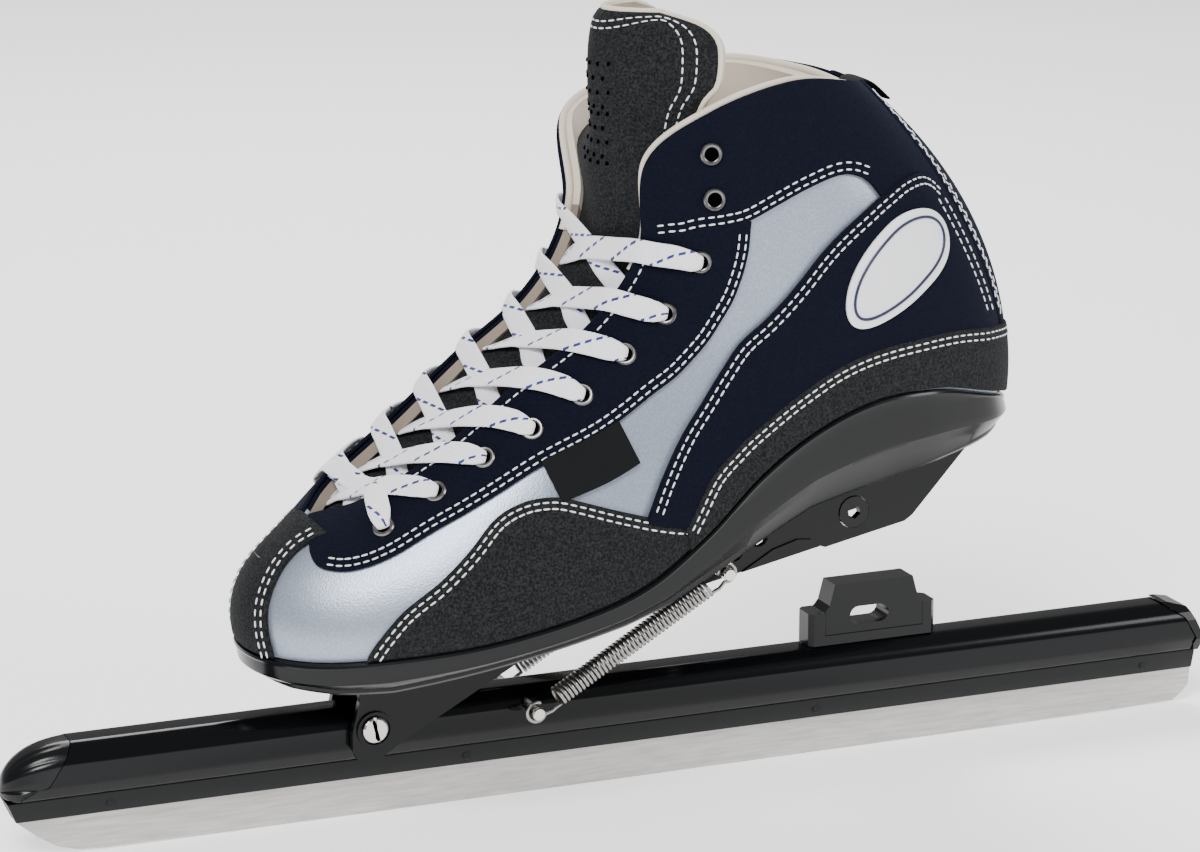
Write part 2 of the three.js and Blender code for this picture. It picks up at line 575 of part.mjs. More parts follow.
// A round wire through the points, with the given number of sides and closed ends.
function wireAlong(points, radius, sides) {
  const positions = [];
  const index = [];
  let side = new THREE.Vector3(0, 1, 0);
  points.forEach((point, k) => {
    const before = points[Math.max(k - 1, 0)];
    const after = points[Math.min(k + 1, points.length - 1)];
    const tangent = after.clone().sub(before).normalize();
    side = side.clone().addScaledVector(tangent, -side.dot(tangent)).normalize();
    const up = tangent.clone().cross(side);
    for (let j = 0; j < sides; j++) {
      const angle = (j + 0.5) / sides * Math.PI * 2;
      const spoke = side.clone().multiplyScalar(Math.cos(angle)).addScaledVector(up, Math.sin(angle));
      const place = point.clone().addScaledVector(spoke, radius);
      positions.push(place.x, place.y, place.z);
    }
  });
  for (let k = 0; k < points.length - 1; k++) {
    for (let j = 0; j < sides; j++) {
      const a = k * sides + j;
      const b = k * sides + (j + 1) % sides;
      index.push(a, b, b + sides, a, b + sides, a + sides);
    }
  }
  const last = (points.length - 1) * sides;
  for (let j = 1; j < sides - 1; j++) {
    index.push(0, j + 1, j, last, last + j, last + j + 1);
  }
  const geometry = new THREE.BufferGeometry();
  geometry.setAttribute('position', new THREE.Float32BufferAttribute(positions, 3));
  geometry.setIndex(index);
  return outward(geometry);
}

addNode(skate, 'hinge_sleeve', hingeSleeve(), BRIGHT);
addNode(skate, 'lower_spring_pin', springPin(LOWER_PIN), BRIGHT);
addNode(skate, 'spring_outer', tensionSpring(-1), BRIGHT);
addNode(skate, 'spring_inner', tensionSpring(1), BRIGHT);

addNode(boot, 'hinge_axle', hingeAxle(), BRIGHT);
addNode(boot, 'hinge_screw_outer', hingeScrew(-1), BRIGHT);
addNode(boot, 'hinge_screw_inner', hingeScrew(1), BRIGHT);
addNode(boot, 'bridge', bridge(), ANODISED);
addNode(boot, 'lock_bush_outer', lockBush(-1), MATTE_BLACK);
addNode(boot, 'lock_bush_inner', lockBush(1), MATTE_BLACK);
addNode(boot, 'upper_spring_pin', springPin(UPPER_PIN), BRIGHT);
BOLT_X.forEach((x, k) => addNode(boot, `mount_bolt_${k + 1}`, mountBolt(x), BRIGHT));

// ---------------------------------------------------------------- upper surface

// Fourteen ribs from the middle of the toe (0) round to the middle of the heel (13). Each is
// a cubic curve up the side of the boot from the sole's rim to the top edge: four points of
// [x, z, half-width], then the sideways place of the boot's centre line there.
const RIBS = [
  [[-121, 66.5, 0], [-122, 76, 0], [-117, 86.5, 0], [-109.5, 90, 0], 4],
  [[-117.5, 65.5, 15], [-118, 76, 16], [-112.5, 89.5, 11], [-103.5, 94, 0], 4],
  [[-106, 63, 27], [-106.5, 74, 30], [-101, 93, 20], [-93, 99.5, 1.5], 4],
  [[-88, 61, 36], [-87, 74, 40], [-81, 95, 27], [-76, 102, 9], 3.5],
  [[-60, 58.7, 42], [-58.5, 74, 47], [-53, 101, 32], [-50, 111.5, 12], 1.5],
  [[-30, 58.2, 43], [-29, 75, 48], [-26, 109, 33], [-24, 125, 13.5], 0],
  [[-5, 60.2, 41], [-5, 80, 44], [-4, 114, 31], [-2, 134.5, 14.5], -0.5],
  [[19, 68.8, 38], [18, 90, 39.5], [15, 124, 29.5], [14, 145.5, 16], -0.5],
  [[42, 81, 35.5], [39, 106, 36.5], [29, 138, 29], [25, 160, 18], -0.5],
  [[64, 88.3, 33.5], [60, 117, 36], [40, 152, 31], [30.5, 185, 22], 0],
  [[86, 91, 32], [84, 122, 36], [63, 165, 30.5], [52, 195.5, 27.5], 0],
  [[109, 87, 29.5], [112, 120, 34], [93, 166, 29], [80, 197, 26], 0],
  [[131, 76.5, 20], [138, 108, 24.5], [118, 160, 21], [103, 188.5, 16], 0],
  [[141, 69.5, 0], [153, 104, 0], [143.5, 145, 0], [112, 182.5, 0], 0],
];
const LAST_RIB = RIBS.length - 1;

// The inner side of the throat and collar stands this much further out, [x, y, z] per rib.
const INNER_SIDE_LIFT = [
  [0, 0, 0], [0, 0, 0], [0, 1, 0], [-4, 4, 3], [-5, 5, 5], [-5, 4, 6], [-5.5, 4, 6.5],
  [-6, 5, 7], [-6, 7, 8], [-4, 10, 8], [0, 4, 3], [0, 0, 0], [0, 0, 0], [0, 0, 0],
];
const LIFT_SHARE = 0.6;       // of the lift that the third curve point takes

function ribPoints(rib, side) {
  let k = rib;
  let hand = side;
  if (k < 0) { k = -k; hand = -hand; }
  if (k > LAST_RIB) { k = 2 * LAST_RIB - k; hand = -hand; }
  const centre = RIBS[k][4];
  const points = RIBS[k].slice(0, 4).map(([x, z, w]) => new THREE.Vector3(x, centre + hand * w, z));
  if (hand > 0) {
    const lift = new THREE.Vector3(...INNER_SIDE_LIFT[k]);
    points[3].add(lift);
    points[2].addScaledVector(lift, LIFT_SHARE);
  }
  return points;
}

// The point of the upper at rib place s and height share t, on one side (-1 outer, 1 inner).
// Past either end rib the surface carries on into the other side.
function upperPoint(side, s, t) {
  const rib = Math.min(Math.max(Math.floor(s), -3), LAST_RIB + 2);
  const f = s - rib;
  const weights = [-0.5 * f + f * f - 0.5 * f ** 3, 1 - 2.5 * f * f + 1.5 * f ** 3,
    0.5 * f + 2 * f * f - 1.5 * f ** 3, -0.5 * f * f + 0.5 * f ** 3];
  const bezier = [(1 - t) ** 3, 3 * t * (1 - t) ** 2, 3 * t * t * (1 - t), t ** 3];
  const point = new THREE.Vector3();
  weights.forEach((weight, j) => {
    ribPoints(rib + j - 1, side).forEach((corner, i) => point.addScaledVector(corner, weight * bezier[i]));
  });
  return point;
}

// Unit vector out of the upper's surface.
function upperNormal(side, s, t) {
  const e = 0.01;
  const across = upperPoint(side, s + e, t).sub(upperPoint(side, s - e, t));
  const up = upperPoint(side, s, Math.min(t + e, 1)).sub(upperPoint(side, s, Math.max(t - e, 0)));
  return across.cross(up).multiplyScalar(-side).normalize();
}

// The point at a given distance out of the upper's surface.
const onUpper = (side, s, t, stand) =>
  upperPoint(side, s, t).addScaledVector(upperNormal(side, s, t), stand);

// Height share of a panel's edge at rib place s, from a list of [s, t] points.
const edge = (points) => (s) => between(points, s);

// Rib places from one end of a panel to the other, at every half rib and both ends.
function ribPlaces(from, to, step = 0.5) {
  const places = [from];
  for (let s = Math.ceil(from / step + 0.2) * step; s < to - step * 0.2; s += step) places.push(s);
  places.push(to);
  return places;
}

// A panel of the upper between two edges, as a closed skin between two distances from the
// outer face of the base leather. The places are [side, s] pairs.
function panel(places, low, high, rows, inner = OVERLAY_STAND, outer = OVERLAY_STAND + LEATHER) {
  const skin = (stand) => places.map(([side, s]) => {
    const row = [];
    for (let j = 0; j <= rows; j++) {
      row.push(onUpper(side, s, low(s) + (high(s) - low(s)) * j / rows, stand));
    }
    return row;
  });
  return slab(skin(outer), skin(inner));
}

const oneSide = (side, from, to, step) => ribPlaces(from, to, step).map((s) => [side, s]);

// From place s on the outer side, round the heel, to place s on the inner side.
const roundHeel = (from, step) => {
  const half = ribPlaces(from, LAST_RIB, step);
  return [...half.map((s) => [-1, s]), ...half.reverse().slice(1).map((s) => [1, s])];
};

const SEAM = 0.012;           // between neighbouring panels, as a height share
const above = (curve) => (s) => Math.min(curve(s) + SEAM, 1);
const below = (curve) => (s) => curve(s) - SEAM;
const bottomEdge = () => 0.025;
const topEdge = () => 1;

const WAVE_TOP = edge([[2.8, 0.06], [2.95, 0.16], [3.25, 0.3], [3.65, 0.39], [4, 0.49], [4.33, 0.575],
  [4.62, 0.58], [5, 0.54], [5.3, 0.49], [5.9, 0.36], [6.3, 0.26], [6.7, 0.14]]);
const EYESTAY_LOW = edge([[2.05, 0.77], [2.15, 0.66], [2.45, 0.61], [2.8, 0.59], [3.2, 0.6], [3.75, 0.65],
  [4.5, 0.66], [5.2, 0.66], [6.2, 0.63], [6.9, 0.61], [7.5, 0.56], [8.1, 0.53], [8.75, 0.53], [9.1, 0.56],
  [9.4, 0.6], [9.7, 0.65]]);
const COLLAR_LOW = edge([[8.2, 0.97], [8.35, 0.9], [8.85, 0.75], [9.3, 0.69], [9.8, 0.66], [10.35, 0.65],
  [10.9, 0.66], [11.15, 0.64], [11.35, 0.65], [11.8, 0.705], [12.35, 0.725]]);
const QUARTER_FRONT = edge([[6.25, 0.29], [6.6, 0.35], [7.1, 0.41], [7.7, 0.42], [8.45, 0.43], [9.1, 0.42],
  [9.75, 0.45], [10.6, 0.54], [11.3, 0.62], [11.8, 0.69], [12.35, 0.705]]);
const HEEL_BAND_TOP = edge([[6.8, 0.1], [7.25, 0.19], [7.8, 0.18], [9, 0.16], [10.3, 0.17], [11, 0.18],
  [11.75, 0.22], [13, 0.23]]);
const BACK_STAY_FRONT = 12.4;
const quarterLow = (s) => (s < 6.8 ? WAVE_TOP(s) + 0.02 : HEEL_BAND_TOP(s) + SEAM);
const HIGH = OVERLAY_STAND + LEATHER + 0.4;
const EYESTAY_TOP = (s) => (s < 8.2 ? 1 : COLLAR_LOW(s) - 0.01);

// ---------------------------------------------------------------- boot

// Half of the boot from toe to heel, between two distances from the outer face. The halves
// meet at the middle of the toe and of the heel with a small gap.
function halfBoot(side, inner, outer) {
  const skin = (stand) => ribPlaces(0, LAST_RIB).map((s) => {
    const row = [];
    for (let j = 0; j <= HALF_ROWS; j++) {
      const point = onUpper(side, s, j / HALF_ROWS, stand);
      const centre = centreLine(s);
      point.y = centre + side * Math.max(side * (point.y - centre), CENTRE_GAP);
      row.push(point);
    }
    return row;
  });
  return slab(skin(outer), skin(inner));
}

function centreLine(s) {
  const rib = Math.min(Math.floor(s), LAST_RIB - 1);
  return RIBS[rib][4] + (RIBS[rib + 1][4] - RIBS[rib][4]) * (s - rib);
}

// Bottom of the sole at place x: flat under the ball, rising through the waist to the heel.
const soleBottomZ = (x) => between([[-125, 57], [-116, 53.5], [-104, 50.4], [-88, SOLE_FOREFOOT_Z],
  [-12, SOLE_FOREFOOT_Z], [4, 49.7], [22, 53.4], [46, 58.8], [60, SOLE_HEEL_Z], [150, SOLE_HEEL_Z]], x);

// Where the sole's centre line meets each rib's cross-section.
const solesCentreX = edge([[0, -108], [1, -104], [2, -98], [3, -86], [4, -60], [5, -30], [6, -5], [7, 19],
  [8, 42], [9, 62], [10, 80], [11, 96], [12, 108], [13, 116]]);

// A point beside the sole's rim at rib place s: a distance out from it, at height z.
function besideRim(side, s, out, z) {
  const along = upperPoint(side, s + 0.01, 0).sub(upperPoint(side, s - 0.01, 0));
  const away = along.cross(new THREE.Vector3(0, 0, -side)).normalize();
  const point = upperPoint(side, s, 0).addScaledVector(away, out);
  point.z = z;
  return point;
}

const soleMiddle = (s, z) => new THREE.Vector3(solesCentreX(s), centreLine(s), z);

// One column per rib place, down one side of the sole and up the other.
function soleRing(step, column) {
  const places = ribPlaces(0, LAST_RIB, step);
  const half = places.map((s) => column(-1, s));
  return ringSkin([...half, ...places.reverse().slice(1, -1).map((s) => column(1, s))]);
}

function soleShell() {
  const shell = soleRing(0.5, (side, s) => {
    const rim = upperPoint(side, s, 0);
    const bottom = soleBottomZ(rim.x);
    const middle = soleBottomZ(solesCentreX(s));
    const top = rim.z - GAP;
    const rise = top - bottom;
    const inset = 3 + Math.max(0, rise - 12) * 0.2;
    return [soleMiddle(s, middle), besideRim(side, s, -inset, bottom),
      besideRim(side, s, SOLE_RIM - 0.2, bottom + rise * 0.45), besideRim(side, s, SOLE_RIM, top),
      besideRim(side, s, -SOLE_RIM_INNER, top),
      besideRim(side, s, -SOLE_RIM_INNER - 0.5, bottom + SOLE_FLOOR),
      soleMiddle(s, middle + SOLE_FLOOR)];
  });
  const holes = BOLT_X.map((x) =>
    uprightBar(x, 0, INSERT_RADIUS + GAP, soleBottomZ(x) - 3, soleBottomZ(x) + INSERT_HEIGHT + 0.8));
  return cut(shell, ...holes);
}

// A closed skin from a ring of columns whose first and last points share the centre line.
function ringSkin(columns) {
  const positions = [];
  const index = [];
  const count = columns[0].length;
  columns.forEach((column) => column.forEach((point) => positions.push(point.x, point.y, point.z)));
  for (let c = 0; c < columns.length; c++) {
    const next = (c + 1) % columns.length;
    for (let j = 0; j < count - 1; j++) {
      const a = c * count + j;
      const b = next * count + j;
      index.push(a, b, b + 1, a, b + 1, a + 1);
    }
  }
  const geometry = new THREE.BufferGeometry();
  geometry.setAttribute('position', new THREE.Float32BufferAttribute(positions, 3));
  geometry.setIndex(index);
  return outward(withoutSlivers(mergeVertices(geometry, 1e-3)));
}

function withoutSlivers(geometry) {
  const index = geometry.index.array;
  const kept = [];
  for (let k = 0; k < index.length; k += 3) {
    const [a, b, c] = [index[k], index[k + 1], index[k + 2]];
    if (a !== b && b !== c && a !== c) kept.push(a, b, c);
  }
  geometry.setIndex(kept);
  return geometry;
}

function insole() {
  return soleRing(0.5, (side, s) => {
    const low = soleBottomZ(upperPoint(side, s, 0).x) + SOLE_FLOOR + GAP * 2;
    const middle = soleBottomZ(solesCentreX(s)) + SOLE_FLOOR + GAP * 2;
    const reach = -SOLE_RIM_INNER - 1.6;
    return [soleMiddle(s, middle), besideRim(side, s, reach, low),
      besideRim(side, s, reach, low + INSOLE_THICKNESS), soleMiddle(s, middle + INSOLE_THICKNESS)];
  });
}

// The stripe over the middle of the toe: the outer edge and the middle line, both as [s, t],
// at the same number of places from the sole up to the front of the throat.
const STRIPE_EDGE = [[1.15, 0.025], [1.13, 0.12], [1.1, 0.28], [1.12, 0.45], [1.25, 0.6], [1.45, 0.71],
  [1.75, 0.78], [2.05, 0.81], [2.3, 0.825]];
const STRIPE_MIDDLE = [[0, 0.025], [0, 0.15], [0, 0.35], [0, 0.6], [0, 0.85], [0.5, 1], [1, 1], [1.5, 1],
  [2, 1]];

function toeStripe() {
  const shares = [0, 0.35, 0.7];
  const skin = (stand) => STRIPE_EDGE.map(([s0, t0], k) => {
    const [s1, t1] = STRIPE_MIDDLE[k];
    const half = (side) => shares.map((share) =>
      onUpper(side, s0 + (s1 - s0) * share, t0 + (t1 - t0) * share, stand));
    const middle = onUpper(-1, s1, t1, stand).add(onUpper(1, s1, t1, stand)).multiplyScalar(0.5);
    return [...half(-1), middle, ...half(1).reverse()];
  });
  return slab(skin(OVERLAY_STAND + LEATHER), skin(OVERLAY_STAND));
}

// A flat oval or oblong patch sewn on the outer side, from its middle on the upper, its
// outline in millimetres and its tilt.
function patch(s, t, outline, tilt, stand, thickness) {
  const e = 0.01;
  const along = upperPoint(-1, s + e, t).sub(upperPoint(-1, s - e, t)).divideScalar(2 * e);
  const up = upperPoint(-1, s, t + e).sub(upperPoint(-1, s, t - e)).divideScalar(2 * e);
  const place = ([a, b], out) => {
    const turn = THREE.MathUtils.degToRad(tilt);
    const x = a * Math.cos(turn) - b * Math.sin(turn);
    const z = a * Math.sin(turn) + b * Math.cos(turn);
    const det = along.x * up.z - along.z * up.x;
    const ds = (x * up.z - z * up.x) / det;
    const dt = (z * along.x - x * along.z) / det;
    return onUpper(-1, s + ds, t + dt, out);
  };
  const rings = [1, 0.5, 0].map((scale) => outline.map(([a, b]) => [a * scale, b * scale]));
  const columns = outline.map((_, k) => [
    ...[...rings].reverse().map((ring) => place(ring[k], stand)),
    ...rings.map((ring) => place(ring[k], stand + thickness))]);
  return ringSkin(columns);
}

const oval = (length, width, sides) => Array.from({ length: sides }, (_, k) => {
  const angle = k / sides * Math.PI * 2;
  return [length / 2 * Math.cos(angle), width / 2 * Math.sin(angle)];
});
const oblong = (length, width) => [[-1, -1], [0, -1], [1, -1], [1, 1], [0, 1], [-1, 1]]
  .map(([a, b]) => [a * length / 2, b * width / 2]);

// ---------------------------------------------------------------- tongue and laces

// Height of the tongue's middle above the throat's edges, per rib place.
const TONGUE_RISE = [[2.7, -3], [6, -2.6], [7, -1], [8, 2], [9, 4]];

function throatMiddle(s, rise) {
  const middle = upperPoint(-1, s, 1).add(upperPoint(1, s, 1)).multiplyScalar(0.5);
  const normal = upperNormal(-1, s, 1).add(upperNormal(1, s, 1)).normalize();
  return middle.addScaledVector(normal, rise);
}

function tongue() {
  const slices = [2.75, 3.3, 4, 5, 6, 7, 8, 8.6].map((s) => {
    const margin = (side) => [0.87, 0.95, 1].map((t) => onUpper(side, s, t, -TONGUE_DEPTH));
    return [...margin(-1), throatMiddle(s, between(TONGUE_RISE, s)), ...margin(1).reverse()];
  });
  // Above the throat: middle [x, y, z], half-width, how far back and how far down the sides go.
  const FREE_END = [[24.5, 2.8, 194, 22.7, 23.2, 0], [28, 4.4, 212, 26, 29, 4], [32, 5, 223, 25, 27, 6],
    [35, 5, 227, 19, 19, 5]];
  FREE_END.forEach(([x, y, z, half, back, drop]) => {
    slices.push([-1, -0.75, -0.45, 0, 0.45, 0.75, 1].map((share) =>
      new THREE.Vector3(x + back * share * share, y + half * share, z - drop * share * share)));
  });
  const inner = slices.map((slice, k) => slice.map((point, j) => {
    const ahead = slices[Math.min(k + 1, slices.length - 1)][j].clone();
    const behind = slices[Math.max(k - 1, 0)][j];
    const beside = slice[Math.min(j + 1, slice.length - 1)].clone().sub(slice[Math.max(j - 1, 0)]);
    const normal = ahead.sub(behind).cross(beside).normalize();
    const inward = -Math.sign(normal.z - normal.x * 0.6);
    return point.clone().addScaledVector(normal, TONGUE_THICKNESS * inward);
  }));
  return slab(slices, inner);
}

// Laced pairs of eyelets from the toe up, and the height share of each row.
const EYELETS = [[3.18, 0.77], [3.81, 0.81], [4.42, 0.82], [5.04, 0.81], [5.84, 0.8], [6.72, 0.8],
  [7.71, 0.76], [8.4, 0.8]];
const LACE_STAND = OVERLAY_STAND + LEATHER + 1.3;

// A strap from the eyelet in one row across the throat to the eyelet in the next row.
function laceStrap(side, from, to) {
  const [s0, t0] = EYELETS[from];
  const [s1, t1] = EYELETS[to];
  const middle = (s0 + s1) / 2;
  const centre = throatMiddle(middle, between(TONGUE_RISE, middle) + 2.5);
  const edgeLine = (hand, s) => upperPoint(hand, s + 0.1, 1).sub(upperPoint(hand, s - 0.1, 1)).normalize();
  // Each place on the route: its point, the way the strap faces and the way its width runs.
  const atEyelet = (hand, s, t) => [
    onUpper(hand, s, t, LACE_STAND), upperNormal(hand, s, t), edgeLine(hand, s)];
  const overEdge = (hand, s) => {
    const out = upperNormal(hand, s, 1);
    const up = upperPoint(hand, s, 1).sub(upperPoint(hand, s, 0.97)).normalize();
    const beyond = (stand, reach) => onUpper(hand, s, 1, stand).addScaledVector(up, reach);
    return [[beyond(LACE_STAND - 0.2, 0.9), out.clone().add(up).normalize(), edgeLine(hand, s)],
      [beyond(-1.5, 1.8), out.clone().multiplyScalar(0.3).add(up).normalize(), edgeLine(hand, s)]];
  };
  const near = overEdge(side, s0 * 0.75 + s1 * 0.25);
  const far = overEdge(-side, s0 * 0.25 + s1 * 0.75);
  const facing = upperNormal(side, s0, 1).add(upperNormal(-side, s1, 1)).normalize();
  const route = [atEyelet(side, s0, t0), ...near, [centre, facing, edgeLine(side, middle)],
    ...far.reverse(), atEyelet(-side, s1, t1)];
  const skin = (out) => route.map(([point, normal, wide]) => [-1, 1].map((hand) =>
    point.clone().addScaledVector(wide, hand * LACE_WIDTH / 2).addScaledVector(normal, out)));
  return slab(skin(LACE_THICKNESS), skin(0));
}

function laces() {
  const straps = [];
  for (let k = 0; k < EYELETS.length - 1; k++) {
    straps.push(laceStrap(-1, k, k + 1), laceStrap(1, k, k + 1));
  }
  straps.push(laceStrap(1, 0, 0));
  return join(...straps);
}

addNode(boot, 'sole_shell', soleShell(), SHELL_BLACK);
BOLT_X.forEach((x, k) => addNode(boot, `sole_insert_${k + 1}`, soleInsert(x), BRIGHT));
addNode(boot, 'insole', insole(), LINING);

for (const [side, name] of [[-1, 'outer'], [1, 'inner']]) {
  addNode(boot, `lining_${name}`, halfBoot(side, -LINING_OUTER - LINING_THICKNESS, -LINING_OUTER), LINING);
  addNode(boot, `upper_${name}`, halfBoot(side, -LEATHER, 0), SILVER);
  addNode(boot, `wave_panel_${name}`,
    panel(oneSide(side, 2.8, 6.7, 0.5), bottomEdge, WAVE_TOP, 6), NUBUCK_BLACK);
  addNode(boot, `eyestay_${name}`,
    panel(oneSide(side, 2.4, 9.7, 0.5), EYESTAY_LOW, EYESTAY_TOP, 4), SUEDE_NAVY);
  addNode(boot, `collar_${name}`,
    panel(oneSide(side, 8.25, BACK_STAY_FRONT - 0.05, 0.5), above(COLLAR_LOW), topEdge, 4), SUEDE_NAVY);
  addNode(boot, `heel_quarter_${name}`,
    panel(oneSide(side, 6.3, BACK_STAY_FRONT - 0.05, 0.5), quarterLow, QUARTER_FRONT, 6), SUEDE_NAVY);
}
addNode(boot, 'toe_stripe', toeStripe(), NUBUCK_BLACK);
addNode(boot, 'heel_band', panel(roundHeel(6.8, 0.5), bottomEdge, HEEL_BAND_TOP, 2), NUBUCK_BLACK);
addNode(boot, 'back_stay',
  panel(roundHeel(BACK_STAY_FRONT, 0.2), above(HEEL_BAND_TOP), topEdge, 8), SUEDE_NAVY);
addNode(boot, 'badge', patch(11, 0.4, oval(BADGE_LENGTH, BADGE_WIDTH, 16), BADGE_TILT, HIGH, 0.8), WHITE);
addNode(boot, 'side_label',
  patch(5.7, 0.565, oblong(LABEL_LENGTH, LABEL_WIDTH), LABEL_TILT, HIGH, 0.8), MATTE_BLACK);
addNode(boot, 'tongue', tongue(), NUBUCK_BLACK);
addNode(boot, 'laces', laces(), WHITE);

boot.rotation.y = -THREE.MathUtils.degToRad(OPEN_ANGLE);
const hinge = new THREE.Vector3(HINGE_X, 0, HINGE_Z);
boot.position.copy(hinge).sub(hinge.clone().applyEuler(boot.rotation));
skate.updateMatrixWorld(true);

export default skate;
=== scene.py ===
"""Looks of a clap speed skate: a laced low boot on a bridge hinged over a long blade.

Lengths in the tables are millimetres in the skate's frame: X from toe to heel, Y from the
outer to the inner side of the foot, Z up from the ice. The boot is drawn closed on the
blade and turned open about the hinge, as the frame has it at rest.
"""

import math

import bmesh
import bpy
import numpy as np
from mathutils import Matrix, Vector


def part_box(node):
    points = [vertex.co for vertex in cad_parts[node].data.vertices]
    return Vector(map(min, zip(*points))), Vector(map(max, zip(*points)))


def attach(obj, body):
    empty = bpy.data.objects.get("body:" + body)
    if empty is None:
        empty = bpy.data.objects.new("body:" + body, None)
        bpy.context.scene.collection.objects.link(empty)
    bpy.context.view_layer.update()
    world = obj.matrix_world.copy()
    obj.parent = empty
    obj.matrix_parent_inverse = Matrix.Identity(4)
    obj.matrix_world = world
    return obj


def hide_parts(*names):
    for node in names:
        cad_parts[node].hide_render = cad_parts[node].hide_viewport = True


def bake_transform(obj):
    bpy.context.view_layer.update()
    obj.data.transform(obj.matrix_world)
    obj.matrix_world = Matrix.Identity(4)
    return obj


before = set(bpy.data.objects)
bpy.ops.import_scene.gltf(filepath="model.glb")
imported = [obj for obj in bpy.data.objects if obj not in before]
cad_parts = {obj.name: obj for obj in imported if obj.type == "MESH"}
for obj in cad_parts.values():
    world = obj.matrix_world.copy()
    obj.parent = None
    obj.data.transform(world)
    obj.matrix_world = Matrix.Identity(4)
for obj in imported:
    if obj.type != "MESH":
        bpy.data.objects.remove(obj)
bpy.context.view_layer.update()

MM = 0.001
SIDES = ("outer", "inner")

# ---- sizes

HINGE = (-91.3, 32.0)
OPEN_ANGLE = math.radians(12)
LEATHER = 1.2
STAND = 0.55           # of a sewn panel's underside above the silver leather
EDGE_DROP = 0.45       # how far a panel's outer face rolls down at its cut edge
LINING_DEPTH = 4.6
STITCH_LENGTH = 2.1
STITCH_PITCH = 3.0
STITCH_RADIUS = 0.3
ROW_GAP = 2.2          # between the two rows of a double seam
LACE_WIDTH = 7.4
LACE_THICKNESS = 1.3
EYELET_RADIUS = 3.5
EYELET_HOLE = 2.2
PIPING_RADIUS = 1.25
SPRING_RADIUS = 3.5
SPRING_WIRE = 0.62
SPRING_COILS = 40
SPRING_EYE = 3.1       # radius of the round hook at each end of a spring
SPRING_HOOK = 8.0      # from the pin to the first coil
SPRING_SIDE = 17.2     # of the springs from the skate's middle
RIM_GAP = 0.012        # height share where panels begin above the sole
SOLE_OUT = 2.1         # of the sole's wall past the upper
QUARTER_OVER = 0.85    # how far the quarter, band and strip stand above a plain panel
BAND_OVER = 1.3
STRIP_OVER = 0.65
TRACER_PITCH = 0.0165  # of the navy thread's crossings along the lace, in metres
TRACER_DASH = 0.0031


# ---- points and curves

def opened(points):
    """Turns points drawn with the boot closed to where they are at rest, in millimetres."""
    points = np.array(points, float)
    dx = points[..., 0] - HINGE[0]
    dz = points[..., 2] - HINGE[1]
    turned = points.copy()
    turned[..., 0] = HINGE[0] + dx * math.cos(OPEN_ANGLE) - dz * math.sin(OPEN_ANGLE)
    turned[..., 2] = HINGE[1] + dx * math.sin(OPEN_ANGLE) + dz * math.cos(OPEN_ANGLE)
    return turned


def unit(v):
    return v / np.maximum(np.linalg.norm(v, axis=-1, keepdims=True), 1e-12)


def lengths_along(points):
    """Length of a path from its start to each of its points."""
    return np.concatenate([[0], np.cumsum(np.linalg.norm(np.diff(points, axis=0), axis=1))])


def resampled(values, lengths, even):
    """Rows known at some lengths along a path, read off at other lengths."""
    return np.stack([np.interp(even, lengths, column) for column in np.array(values, float).T], axis=1)


def spline_weights(f):
    """Weights of four neighbours on a smooth curve, a share f from the second to the third."""
    return (-0.5 * f + f * f - 0.5 * f**3, 1 - 2.5 * f * f + 1.5 * f**3,
            0.5 * f + 2 * f * f - 1.5 * f**3, -0.5 * f * f + 0.5 * f**3)


def smooth_path(points, count):
    """A smooth curve through the points, resampled at even spacing."""
    p = np.array(points, float)
    p = np.vstack([2 * p[0] - p[1], p, 2 * p[-1] - p[-2]])
    dense = []
    for k in range(1, len(p) - 2):
        for f in np.linspace(0, 1, 24, endpoint=False):
            dense.append(sum(weight * p[k - 1 + j] for j, weight in enumerate(spline_weights(f))))
    dense.append(p[-2])
    lengths = lengths_along(dense)
    return resampled(dense, lengths, np.linspace(0, lengths[-1], count))


def height_curve(points):
    """A smooth height share t over rib place s, through [s, t] points."""
    dense = smooth_path(points, 400)
    return lambda s: np.interp(s, dense[:, 0], dense[:, 1])


# ---- the upper's surface

# Ribs from the middle of the toe to the middle of the heel: four [x, z, half-width] points
# of a cubic up the side of the boot, then the sideways place of the centre line.
RIBS = [
    [(-121, 66.5, 0), (-122, 76, 0), (-117, 86.5, 0), (-109.5, 90, 0), 4],
    [(-117.5, 65.5, 15), (-118, 76, 16), (-112.5, 89.5, 11), (-103.5, 94, 0), 4],
    [(-106, 63, 27), (-106.5, 74, 30), (-101, 93, 20), (-93, 99.5, 1.5), 4],
    [(-88, 61, 36), (-87, 74, 40), (-81, 95, 27), (-76, 102, 9), 3.5],
    [(-60, 58.7, 42), (-58.5, 74, 47), (-53, 101, 32), (-50, 111.5, 12), 1.5],
    [(-30, 58.2, 43), (-29, 75, 48), (-26, 109, 33), (-24, 125, 13.5), 0],
    [(-5, 60.2, 41), (-5, 80, 44), (-4, 114, 31), (-2, 134.5, 14.5), -0.5],
    [(19, 68.8, 38), (18, 90, 39.5), (15, 124, 29.5), (14, 145.5, 16), -0.5],
    [(42, 81, 35.5), (39, 106, 36.5), (29, 138, 29), (25, 160, 18), -0.5],
    [(64, 88.3, 33.5), (60, 117, 36), (40, 152, 31), (30.5, 185, 22), 0],
    [(86, 91, 32), (84, 122, 36), (63, 165, 30.5), (52, 195.5, 27.5), 0],
    [(109, 87, 29.5), (112, 120, 34), (93, 166, 29), (80, 197, 26), 0],
    [(131, 76.5, 20), (138, 108, 24.5), (118, 160, 21), (103, 188.5, 16), 0],
    [(141, 69.5, 0), (153, 104, 0), (143.5, 145, 0), (112, 182.5, 0), 0],
]
HEEL = len(RIBS) - 1
ROUND = 2 * HEEL

